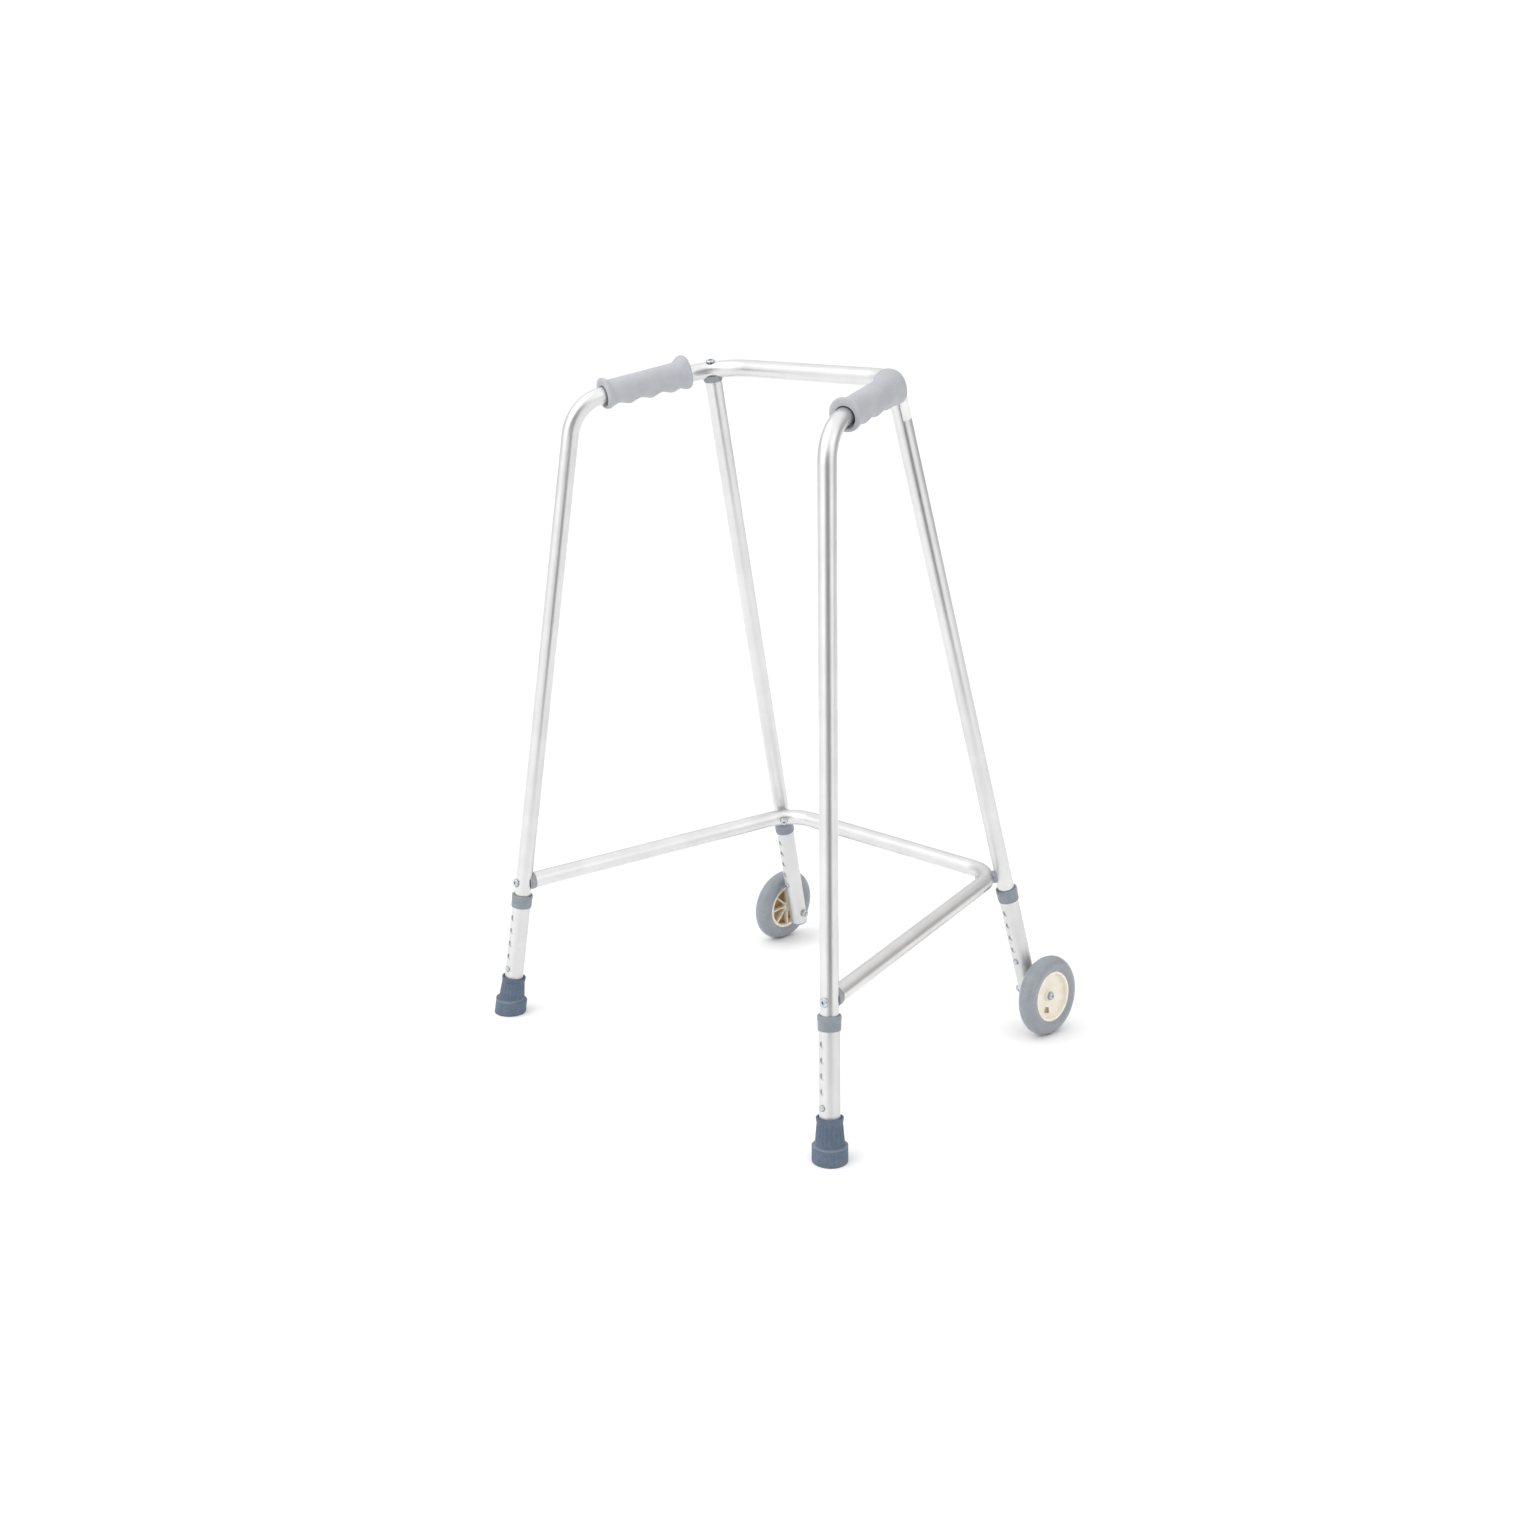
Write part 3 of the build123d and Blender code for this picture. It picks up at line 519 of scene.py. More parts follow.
class WheelSizes(bpy.types.PropertyGroup):
    radius: length("Wheel radius", "Radius of the tyre", 54.8)
    half_width: length("Half tyre width", "Half the width of the tyre", 12.2)
    hub: length("Hub radius", "Radius where the tyre meets the hub", 34.75)
    seat: length("Half seat width", "Half the width of the tyre's seat", 10.4)
    ring: length("Outer ring width", "Width of the hub's raised outer ring", 4.2)
    dish_ring: length("Dish place at the ring", "From the wheel's middle to the dish at the ring", 4.4)
    dish_boss: length("Dish place at the boss", "From the wheel's middle to the dish at the boss", 1.6)
    web: length("Dish thickness", "Thickness of the dish", 3.2)
    boss: length("Boss radius", "Radius of the hub's boss", 8.0)
    boss_face: length("Boss face", "From the wheel's middle to the boss's outer face", 5.0)
    boss_back: length("Boss back", "From the wheel's middle to the boss's inner face", 13.0)
    bore: length("Bore radius", "Radius of the hole for the bush", 5.02)
    rib: length("Rib thickness", "Thickness of the ribs behind the dish", 2.4)
    rib_recess: length("Rib recess", "How far the ribs stand in from the rim's edge", 1.5)
    slot_place: length("Slot place", "From the axle to the middle of the slot", 20.5)
    slot_height: length("Slot height", "Height of the slot towards the axle", 8.5)
    slot_width: length("Slot width", "Width of the slot", 13.5)
    rest_turn: FloatProperty(name="Rest turn", description="How far the slot is turned from straight down",
                             default=math.radians(32), subtype="ANGLE", unit="ROTATION")
    mould_line: length("Mould line", "Height of the mould line round the tread", 0.22)
    ribs: IntProperty(name="Ribs", description="Number of ribs behind the dish", default=8, min=3)


class FittingSizes(bpy.types.PropertyGroup):
    collar_height: length("Collar height", "Height of a leg collar", 18.0)
    collar: length("Collar radius", "Outer radius of a leg collar", 14.4)
    collar_guide: length("Collar guide radius", "Radius of the hole that guides the inner tube", 11.4)
    collar_lip: length("Collar lip", "Height of the collar above the lower tube's end", 4.2)
    lower_tube: length("Lower tube radius", "Outer radius of the lower leg tubes", 12.7)
    saddle_out: length("Saddle overhang", "How far a saddle stands out past its tube", 1.2)
    leg_saddle: length("Leg saddle thickness", "Between a front leg and the top tube", 3.0)
    brace_saddle: length("Brace saddle thickness", "Between the brace's end and a rear leg", 4.0)
    saddle_hole: length("Saddle hole radius", "Hole for the bolt through a saddle", 3.2)
    spigot: length("Spigot radius", "Radius of a saddle's spigot inside the tube", 9.45)
    leg_spigot: length("Leg spigot depth", "Depth of a leg saddle's spigot", 24.0)
    brace_spigot: length("Brace spigot depth", "Depth of a brace saddle's spigot", 26.0)
    nut_width: length("Axle nut width", "Across the flats of the axle nut", 10.0)
    nut_height: length("Axle nut height", "Height of the axle nut", 5.0)
    nut_thread: length("Axle nut bore", "Radius of the axle nut's thread", 3.0)


# The light and the dark tone of each finish.
TONES = {
    "tube": ("Anodised tube", "#DDDDDD", "#D7D7D7"),
    "bore": ("Inside of the tubes", "#5A5A5C", "#434345"),
    "grip": ("Hand grips", "#B1B3B7", "#A9ABB0"),
    "collar": ("Leg collars", "#898F97", "#81878F"),
    "saddle": ("Saddles and plugs", "#979B9F", "#8B8F93"),
    "spacer": ("Wheel spacers", "#D9D6CC", "#CBC7BB"),
    "foot": ("Rubber feet", "#556477", "#4C5B6D"),
    "tyre": ("Tyres", "#90959B", "#8B9097"),
    "hub": ("Wheel centres", "#EFE9DC", "#E9E1D1"),
    "bright": ("Bolts, screws and buttons", "#C9CDD2", "#AEB4BB"),
    "zinc": ("Nuts, washers and springs", "#C9CBCB", "#ABAFB2"),
    "label": ("Blank label", "#F7F7F6", "#EFEFEE"),
    "paper": ("Studio floor", "#FCFCFC", "#FBFBFB"),
    "card": ("Dark card that the metal reflects", "#4B4B4D", "#4B4B4D"),
}


class FrameColours(bpy.types.PropertyGroup):
    __annotations__ = {f"{part}_{tone}": colour(f"{words}, {tone}", f"{words}: its {tone} tone", shade)
                       for part, (words, *shades) in TONES.items()
                       for tone, shade in zip(("light", "dark"), shades)}
    # This pale colour paints both the scuffs and the painted highlight round the feet's shoulder.
    foot_scuff_and_highlight: colour("Foot scuffs", "Scuffs at the base of the feet", "#A3AEB8")
    # Painted shade: the colour that the wheel centres are painted deep between their ribs, with a painted warm
    # glow of light through the plastic.
    hub_cavity_painted_shade: colour("Wheel centre cavities", "Deep between the ribs of the wheel centres", "#A9853F")


class StudioSettings(bpy.types.PropertyGroup):
    camera_place: FloatVectorProperty(name="Camera place", description="Where the camera stands",
                                      default=(1.6787, -1.7158, 1.0294), subtype="TRANSLATION", unit="LENGTH")
    azimuth: FloatProperty(name="Azimuth", description="Way to the camera, round from behind the user",
                           default=math.radians(45.40), subtype="ANGLE", unit="ROTATION")
    elevation: FloatProperty(name="Elevation", description="How far the camera looks down",
                             default=math.radians(15.43), subtype="ANGLE", unit="ROTATION")
    roll: FloatProperty(name="Roll", description="Turn of the camera about its own view",
                        default=math.radians(0.39), subtype="ANGLE", unit="ROTATION")
    lens: FloatProperty(name="Lens", description="Focal length in millimetres, 36 mm sensor", default=43.83)
    floor_radius: length("Floor radius", "Radius of the white paper", 12000)
    card_edge: length("Dark card edge", "From the floor's middle to the dark card", 1090)
    card_aside: length("Dark card offset", "How far the dark card's edge lies right of the camera", 220)
    card_width: length("Dark card width", "Width of the dark card at its edge", 1000)
    card_far_width: length("Dark card far width", "Width of the dark card at its far end", 2200)
    card_length: length("Dark card length", "Length of the dark card away from the middle of the floor", 4000)
    card_turn: FloatProperty(name="Dark card turn", description="How far the dark card turns to the right",
                             default=math.radians(14), subtype="ANGLE", unit="ROTATION")
    key: FloatProperty(name="Softbox", description="Power of the softbox at the camera's left, in watts",
                       default=14.0, min=0.0)
    sky: FloatProperty(name="Room light", description="Brightness of the white room", default=0.8, min=0.0)
    ceiling: FloatProperty(name="Ceiling light", description="Strength of the wide light overhead",
                           default=0.55, min=0.0)


# ---------------------------------------------------------------- pieces
def darken_bore(node, start, way):
    """Gives the inside of a straight tube its own material."""
    mesh = NODES[node].data
    mesh.materials.append(finish("tube_bore"))
    for face in mesh.polygons:
        out = face.center - start
        out -= way * out.dot(way)
        if out.dot(face.normal) < -0.5 * out.length:
            face.material_index = 1


class FRAME_OT_tubes(bpy.types.Operator):
    """Finish the bent top tube, the brace and all leg tubes, inside and outside"""
    bl_idname = "walking_frame.tubes"
    bl_label = "Tubes"

    def execute(self, context):
        dress("top_tube", "anodised_tube")
        dress("brace_tube", "anodised_tube")
        for place, side in LEGS:
            start, up = leg_line(place, side)
            dress(f"{place}_lower_tube_{side}", "lower_tube", up)
            darken_bore(f"{place}_lower_tube_{side}", start, up)
            if place == "front":
                dress(f"front_leg_{side}", "anodised_tube", up)
                darken_bore(f"front_leg_{side}", start, up)
        return {"FINISHED"}


class FRAME_OT_fasteners(bpy.types.Operator):
    """Finish the screws, buttons, springs, plates, washers, bushes, spacers, plugs and the blank label"""
    bl_idname = "walking_frame.fasteners"
    bl_label = "Fasteners and label"

    def execute(self, context):
        slots = {
            "bright_steel": ["leg_top_bolts", "brace_rear_screws", "brace_corner_screws"],
            "zinc_steel": ["leg_top_nuts", "brace_rear_nuts", "brace_corner_nuts"],
            "label_film": ["blank_label"],
        }
        by_side = {
            "bright_steel": ["axle_bolt", "snap_button_rear", "snap_button_front"],
            "zinc_steel": ["button_spring_rear", "button_spring_front", "foot_plate", "wheel_bush",
                           "axle_washers"],
            "saddle_plastic": ["brace_corner_spacer", "leg_end_plug"],
            "bearing_plastic": ["axle_spacer"],
        }
        for side in SIDES:
            for slot, names in by_side.items():
                slots.setdefault(slot, []).extend(f"{name}_{side}" for name in names)
        for slot, nodes in slots.items():
            for node in nodes:
                dress(node, slot)
        return {"FINISHED"}


def grip_radius(sizes, station, angle):
    """The grip's outside at a station along the rail and an angle from straight up."""
    share = station / sizes.run
    top = sizes.rear_top + (sizes.front_top - sizes.rear_top) * share
    side = top - sizes.flattening
    # The first groove starts behind the rear flange, and the last one ends before the front one.
    first, last = 0.155, 0.925
    wave = math.cos(TURN * (share - first) / (last - first) * (sizes.fingers - 1))
    low = sizes.ridge - (sizes.ridge - sizes.groove) * (0.5 + 0.5 * wave) ** 0.8
    # Both flanges flare out of the body; the front one starts earlier and rises higher.
    rear = ease((11 * MM - station) / (8 * MM)) ** 1.4
    front = ease((station - sizes.run + 19 * MM) / (16 * MM)) ** 1.5
    top += (sizes.rear_flange_top - top) * rear + (sizes.front_flange_top - top) * front
    side += (sizes.rear_flange_side - side) * rear + (sizes.front_flange_side - side) * front
    low += (sizes.rear_flange_low - low) * rear + (sizes.front_flange_low - low) * front
    across = math.sin(angle) / side
    upright = math.cos(angle) / (top if math.cos(angle) > 0 else low)
    # The sides are a little squarer than an ellipse.
    square = 2.25
    return (abs(upright) ** square + abs(across) ** square) ** (-1 / square)


class FRAME_OT_grips(bpy.types.Operator):
    """Mould the hand grips with their finger grooves and flanges"""
    bl_idname = "walking_frame.grips"
    bl_label = "Hand grips"

    def execute(self, context):
        sizes = context.scene.walking_frame_grips
        around, steps, stations = 128, 8, 120
        angles = [TURN * i / around for i in range(around)]
        edge, run = sizes.flange_edge, sizes.run

        def ring(station, radius_at, drop=0.0):
            """A ring round the rail, whose middle hangs below the rail's by drop."""
            return [Vector((radius_at(a) * math.cos(a) - drop, radius_at(a) * math.sin(a), station))
                    for a in angles]

        def rounded_edge(turn, front):
            """A ring of a flange's edge, from its face (0) round to its side (1)."""
            into = edge * (1 - math.cos(turn * math.pi / 2))
            under = edge * (1 - math.sin(turn * math.pi / 2))
            side_at = run - edge if front else edge
            return ring(run - into if front else into, lambda a: grip_radius(sizes, side_at, a) - under)

        mouth = [(sizes.mouth_depth, TUBE_RADIUS + 0.1 * MM, 0.0),
                 (sizes.mouth_depth * 0.75, sizes.mouth - 1.6 * MM, sizes.mouth_drop * 0.3),
                 (sizes.mouth_depth * 0.4, sizes.mouth - 0.5 * MM, sizes.mouth_drop * 0.8),
                 (1.2 * MM, sizes.mouth, sizes.mouth_drop),
                 (0.4 * MM, sizes.mouth + 0.25 * MM, sizes.mouth_drop),
                 (0.0, sizes.mouth + 1.0 * MM, sizes.mouth_drop)]
        for side in SIDES:
            corner, way = rail_line(side)
            place = axes_at(corner + way * sizes.start, way, Vector((0, 0, 1)))
            rings = [ring(s, lambda a, r=r: r, drop) for s, r, drop in mouth]
            rings += [rounded_edge(i / steps, False) for i in range(steps + 1)]
            for i in range(1, stations):
                station = edge + (run - 2 * edge) * i / stations
                rings.append(ring(station, lambda a, s=station: grip_radius(sizes, s, a)))
            rings += [rounded_edge(1 - i / steps, True) for i in range(steps + 1)]
            rings += [ring(run - s, lambda a, r=r: r, drop) for s, r, drop in reversed(mouth)]
            mesh = solid_from(f"hand_grip_{side}", rings, place, smooth_angle=50)
            add_piece(f"hand_grip_{side}", mesh, "frame", "grip_plastic", f"grip_{side}")
        return {"FINISHED"}


class FRAME_OT_feet(bpy.types.Operator):
    """Mould the rubber feet with their flutes, rims and ringed soles"""
    bl_idname = "walking_frame.feet"
    bl_label = "Rubber feet"

    def execute(self, context):
        sizes = context.scene.walking_frame_feet
        around = sizes.flutes * 10
        angles = [TURN * i / around for i in range(around)]
        shoulder = sizes.base_height + sizes.shoulder_rise
        neck = sizes.height - sizes.rim_height
        wall = split_long_runs(round_corners([
            (sizes.base, 6.0 * MM, 0), (sizes.base, sizes.base_height, 0.9 * MM),
            (sizes.cone_low, shoulder, 0.8 * MM),
            (sizes.cone_top, neck - 0.8 * MM, 0.5 * MM), (sizes.rim - 0.5 * MM, neck + 0.3 * MM, 0.4 * MM),
            (sizes.rim - 0.4 * MM, neck + 2.6 * MM, 0.3 * MM), (sizes.rim, neck + 3.2 * MM, 0.4 * MM),
            (sizes.rim, sizes.height, 1.0 * MM), (sizes.mouth, sizes.height, 0.7 * MM),
            (sizes.bore, sizes.height - 3.0 * MM, 0.6 * MM), (sizes.bore, sizes.bore_floor, 0.4 * MM),
            (0, sizes.bore_floor, 0)]), 1.5 * MM)
        low_fade, top_fade = shoulder + 1.4 * MM, neck - 2.2 * MM

        def fluted(radius, height, angle):
            if radius < sizes.bore + 1.5 * MM or not low_fade < height < top_fade:
                return radius
            fade = ease((height - low_fade) / (1.6 * MM)) * ease((top_fade - height) / (1.6 * MM))
            groove = (0.5 + 0.5 * math.cos(angle * sizes.flutes)) ** 1.6
            return radius - sizes.flute_depth * fade * groove

        for side in SIDES:
            base = Vector(MOUNTS[f"foot_base_{side}"]["pos_m"])
            up = leg_line("rear", side)[1]
            place = axes_at(base, up, Vector((0, -1, 0)))

            def on_floor(radius, angle, height):
                """A local point at a radius, whose height is measured upright from the floor."""
                x, y = radius * math.cos(angle), radius * math.sin(angle)
                level = (height - place[2][3] - place[2][0] * x - place[2][1] * y) / place[2][2]
                return Vector((x, y, level))

            rings = [[on_floor(0, 0, sizes.tread_depth)]]
            for radius, height in ((4.0, 1), (4.4, 0), (8.0, 0), (8.4, 1), (11.0, 1), (11.4, 0), (15.0, 0),
                                   (15.4, 1), (17.6, 1), (18.0, 0), (20.5, 0)):
                rings.append([on_floor(radius * MM, a, height * sizes.tread_depth) for a in angles])
            for step in range(1, 6):
                turn = math.pi / 2 * step / 5
                radius = sizes.base - 1.1 * MM * (1 - math.sin(turn))
                rings.append([on_floor(radius, a, 1.1 * MM * (1 - math.cos(turn))) for a in angles])
            for radius, height in wall:
                if radius < 1e-6:
                    rings.append([Vector((0, 0, height))])
                    continue
                rings.append([Vector((fluted(radius, height, a) * math.cos(a),
                                      fluted(radius, height, a) * math.sin(a), height)) for a in angles])
            mesh = solid_from(f"rubber_foot_{side}", rings, place, closed=False, smooth_angle=40)
            add_piece(f"rubber_foot_{side}", mesh, f"lower_leg_rear_{side}", "foot_rubber", f"foot_{side}")
        return {"FINISHED"}


def wheel_place(side):
    """A wheel's middle; its Z points outwards along the axle and its X down the leg."""
    low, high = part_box(f"tyre_{side}")
    axle = Vector(JOINTS[f"wheel_spin_{side}"]["axis"]).normalized()
    axle *= SIDES[side] if axle.x > 0 else -SIDES[side]
    return axes_at((low + high) / 2, axle, -leg_line("front", side)[1])


class FRAME_OT_tyres(bpy.types.Operator):
    """Mould the round-treaded tyres"""
    bl_idname = "walking_frame.tyres"
    bl_label = "Tyres"

    def execute(self, context):
        sizes = context.scene.walking_frame_wheels
        crown = sizes.half_width
        tread = sizes.radius - crown
        outline = [(sizes.hub, -sizes.seat), (sizes.hub, sizes.seat - 0.6 * MM),
                   (sizes.hub + 0.5 * MM, sizes.seat), (sizes.hub + 1.6 * MM, sizes.seat + 0.1 * MM)]
        flank = [(sizes.hub + 2.4 * MM, sizes.seat + 0.5 * MM), (sizes.hub + 4.2 * MM, crown - 0.55 * MM),
                 (sizes.hub + 6.2 * MM, crown - 0.12 * MM)]
        outline += flank
        line_at, line_half = math.radians(52), math.radians(2.5)
        steps = 60
        for i in range(steps + 1):
            turn = math.pi / 2 - math.pi * i / steps
            ridge = sizes.mould_line * (1 - ease(abs(turn - line_at) / (line_half * 2)))
            ridge += sizes.mould_line * (1 - ease(abs(turn + line_at) / (line_half * 2)))
            outline.append((tread + (crown + ridge) * math.cos(turn), (crown + ridge * 0.8) * math.sin(turn)))
        outline += [(r, -h) for r, h in reversed(flank)]
        outline += [(sizes.hub + 1.6 * MM, -sizes.seat - 0.1 * MM), (sizes.hub + 0.5 * MM, -sizes.seat)]
        for side in SIDES:
            rings = turned_rings(outline, 160)
            mesh = solid_from(f"wheel_tyre_{side}", rings, wheel_place(side), smooth_angle=45)
            add_piece(f"wheel_tyre_{side}", mesh, f"wheel_{side}", "tyre_rubber", f"tyre_{side}")
        return {"FINISHED"}


class FRAME_OT_hubs(bpy.types.Operator):
    """Mould the dished wheel centres with their ribs, deep cavities and slot"""
    bl_idname = "walking_frame.hubs"
    bl_label = "Wheel centres"

    def execute(self, context):
        sizes = context.scene.walking_frame_wheels
        inside = sizes.hub - sizes.ring
        rib_top = -sizes.seat + sizes.rib_recess
        slot_low = sizes.slot_place - sizes.slot_height / 2
        slot_high = sizes.slot_place + sizes.slot_height / 2
        sector = TURN / sizes.ribs
        fillet, edge, half_rib = 0.7 * MM, 0.4 * MM, sizes.rib / 2

        def dish(radius):
            """The height of the dish's outer side."""
            share = (radius - sizes.boss) / (inside - sizes.boss)
            return sizes.dish_boss + (sizes.dish_ring - sizes.dish_boss) * share

        def half_sector(radius, floor, top):
            """(angle, height, depth in the cavity) of the points from a rib's middle to the next cavity's."""
            wall = [(0, 0), (half_rib - edge, 0), (half_rib - edge * 0.3, edge * 0.3), (half_rib, edge)]
            points = [(out, top + down) for out, down in wall]
            points += [(half_rib, floor - fillet), (half_rib + fillet * 0.3, floor - fillet * 0.3),
                       (half_rib + fillet, floor)]
            result = [(math.asin(min(0.95, out / radius)), height) for out, height in points]
            start = result[-1][0]
            middle = sector / 2
            slot_edge = middle - math.asin(min(0.9, sizes.slot_width / 2 / radius))
            slot_edge = max(slot_edge, start + 0.1 * (middle - start))
            for share in (0.0, 1 / 3, 2 / 3, 1.0):
                result.append((slot_edge + (middle - slot_edge) * share, floor))
            depth = max(floor - top, 1e-6)
            return [(angle, height, min(1.0, max(0.0, (height - top) / depth))) for angle, height in result]

        def ring(radius, floor, top):
            """A ring of the hub. Where top is None the ring is level."""
            half = half_sector(radius, floor, floor - 10 * MM if top is None else top)
            turn = [(-a, h, d) for a, h, d in half[:0:-1]] + half[:-1]
            points, depths = [], []
            for number in range(sizes.ribs):
                for angle, height, depth in turn:
                    around = (number + 0.5) * sector + angle
                    level = floor if top is None else height
                    points.append(Vector((radius * math.cos(around), radius * math.sin(around), level)))
                    depths.append(0.0 if top is None else depth)
            return points, depths

        def back(radius):
            return ring(radius, dish(radius) - sizes.web, rib_top)

        rings = []
        # The back, from the bore out to the rim.
        bore, boss, seat = sizes.bore, sizes.boss, sizes.seat
        boss_back = -sizes.boss_back
        floor_at_boss = dish(boss) - sizes.web
        floor_at_rim = dish(inside) - sizes.web
        rings += [ring(r, h, None) for r, h in (
            (bore, boss_back + 0.5 * MM), (bore + 0.5 * MM, boss_back), (boss - 0.7 * MM, boss_back),
            (boss - 0.2 * MM, boss_back + 0.2 * MM), (boss, boss_back + 0.7 * MM))]
        rings.append(ring(boss, floor_at_boss - fillet, rib_top))
        rings.append(ring(boss + fillet * 0.3, floor_at_boss - fillet * 0.3, rib_top))
        rings.append(ring(boss + fillet, floor_at_boss, rib_top))
        rings.append(back(boss + 4 * MM))
        rings.append(back(slot_low))
        back_low = len(rings) - 1
        rings.append(back(slot_high))
        back_high = len(rings) - 1
        rings.append(back(slot_high + 3 * MM))
        rings.append(ring(inside - fillet, floor_at_rim, rib_top))
        rings.append(ring(inside - fillet * 0.3, floor_at_rim - fillet * 0.3, rib_top))
        rings.append(ring(inside, floor_at_rim - fillet, rib_top))
        rings += [ring(r, h, None) for r, h in (
            (inside, -seat + 0.6 * MM), (inside + 0.2 * MM, -seat + 0.15 * MM), (inside + 0.7 * MM, -seat),
            (sizes.hub - 0.5 * MM, -seat), (sizes.hub - 0.02 * MM, -seat + 0.5 * MM))]
        # The outer face, from the rim in to the bore.
        front = round_corners([
            (sizes.hub - 0.02 * MM, seat - 0.5 * MM, 0), (sizes.hub - 0.3 * MM, seat, 0.4 * MM),
            (inside + 0.5 * MM, seat, 0.7 * MM), (inside, dish(inside) + 0.9 * MM, 0.6 * MM),
            (inside - 1.0 * MM, dish(inside - 1.0 * MM), 0.8 * MM), (slot_high, dish(slot_high), 0)])
        rings += [ring(r, h, None) for r, h in front]
        front_high = len(rings) - 1
        rings.append(ring(slot_low, dish(slot_low), None))
        front_low = len(rings) - 1
        rings += [ring(r, h, None) for r, h in round_corners([
            (boss + 4 * MM, dish(boss + 4 * MM), 0), (boss + 0.5 * MM, dish(boss + 0.5 * MM), 0.9 * MM),
            (boss, sizes.boss_face, 0.7 * MM), (bore + 0.4 * MM, sizes.boss_face, 0.3 * MM),
            (bore, sizes.boss_face - 0.5 * MM, 0)])]
        # The slot goes through the dish in the middle of the cavity below the axle.
        count = len(rings[0][0])
        half_count = len(half_sector(boss, 0.0, -5 * MM)) - 1
        across = [k % count for k in range(-3, 4)]
        left_out = {(k, i) for k in (back_low, front_high) for i in across[:-1]}
        walls = []
        for i, j in zip(across[:-1], across[1:]):
            walls.append(((back_low, i), (back_low, j), (front_low, j), (front_low, i)))
            walls.append(((back_high, i), (back_high, j), (front_high, j), (front_high, i)))
        for i in (across[0], across[-1]):
            walls.append(((back_low, i), (back_high, i), (front_high, i), (front_low, i)))
        depths = [d for _, ring_depths in rings for d in ring_depths]
        for side, sign in SIDES.items():
            place = wheel_place(side) @ Matrix.Rotation(-sign * sizes.rest_turn, 4, "Z")
            mesh = solid_from(f"wheel_centre_{side}", [points for points, _ in rings], place, smooth_angle=35,
                              left_out=left_out, more_faces=walls, cavity=depths)
            add_piece(f"wheel_centre_{side}", mesh, f"wheel_{side}", "hub_plastic", f"wheel_hub_{side}")
        return {"FINISHED"}


class FRAME_OT_collars(bpy.types.Operator):
    """Mould the collars at the top of the lower leg tubes"""
    bl_idname = "walking_frame.collars"
    bl_label = "Leg collars"

    def execute(self, context):
        sizes = context.scene.walking_frame_fittings
        height, out = sizes.collar_height, sizes.collar
        tube_end = height - sizes.collar_lip
        outline = round_corners([
            (sizes.lower_tube + 0.03 * MM, 0, 0.2 * MM), (out - 0.45 * MM, 0, 0.9 * MM),
            (out - 0.3 * MM, height - 6.6 * MM, 0.4 * MM), (out, height - 6.0 * MM, 0.5 * MM),
            (out, height, 1.7 * MM), (sizes.collar_guide, height, 0.6 * MM),
            (sizes.collar_guide, tube_end, 0), (sizes.lower_tube + 0.03 * MM, tube_end, 0)], closed=True)
        for place, side in LEGS:
            low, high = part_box(f"collar_{place}_{side}")
            up = leg_line(place, side)[1]
            at = axes_at((low + high) / 2 - up * (height / 2), up, Vector((0, -1, 0)))
            mesh = solid_from(f"leg_collar_{place}_{side}", turned_rings(outline, 96), at, smooth_angle=40)
            add_piece(f"leg_collar_{place}_{side}", mesh, f"lower_leg_{place}_{side}",
                      "collar_plastic", f"collar_{place}_{side}")
        return {"FINISHED"}


class FRAME_OT_saddles(bpy.types.Operator):
    """Mould the saddles that fit the front legs and the brace's ends to the top tube"""
    bl_idname = "walking_frame.saddles"
    bl_label = "Saddles"

    def execute(self, context):
        sizes = context.scene.walking_frame_fittings
        tube = BVHTree.FromObject(NODES["top_tube"], context.evaluated_depsgraph_get())
        kinds = {"leg": (sizes.leg_saddle, sizes.leg_spigot),
                 "brace_end": (sizes.brace_saddle, sizes.brace_spigot)}
        out = TUBE_RADIUS + sizes.saddle_out
        around = 128
        for kind, (thickness, spigot) in kinds.items():
            most = thickness + TUBE_RADIUS / 2
            for side in SIDES:
                node = f"{kind}_saddle_{side}"
                base, way = tube_end_under(node)
                place = axes_at(base, way, Vector((0, -1, 0)) if kind == "leg" else Vector((0, 0, 1)))

                def seat(radius, angle):
                    """How high the saddle reaches there: up to the tube, and no higher than most."""
                    foot = place @ Vector((radius * math.cos(angle), radius * math.sin(angle), 0))
                    hit = tube.ray_cast(foot, way)
                    return min(most, hit[3] - 0.03 * MM if hit[0] is not None else most)

                def ring(radius, height):
                    points = []
                    for i in range(around):
                        angle = TURN * i / around
                        level = seat(radius, angle) if height is None else height
                        points.append(Vector((radius * math.cos(angle), radius * math.sin(angle), level)))
                    return points

                rim = [[p - Vector((0, 0, 0.5 * MM)) for p in ring(out, None)]]
                outside = [ring(r, h) for r, h in round_corners(
                    [(TUBE_RADIUS - 0.5 * MM, 0, 0), (out, 0, 1.2 * MM), (out, 2.2 * MM, 0)])]
                top = [ring(r, None) for r in (out - 0.4 * MM, TUBE_RADIUS - 0.6 * MM, 8 * MM, 5 * MM,
                                                sizes.saddle_hole)]
                inside = [ring(r, h) for r, h in (
                    (sizes.saddle_hole, -spigot), (sizes.spigot - 0.6 * MM, -spigot),
                    (sizes.spigot, -spigot + 0.6 * MM), (sizes.spigot, 0))]
                mesh = solid_from(f"{kind}_rest_{side}", outside + rim + top + inside, place, smooth_angle=40)
                add_piece(f"{kind}_rest_{side}", mesh, "frame", "saddle_plastic", node)
        return {"FINISHED"}


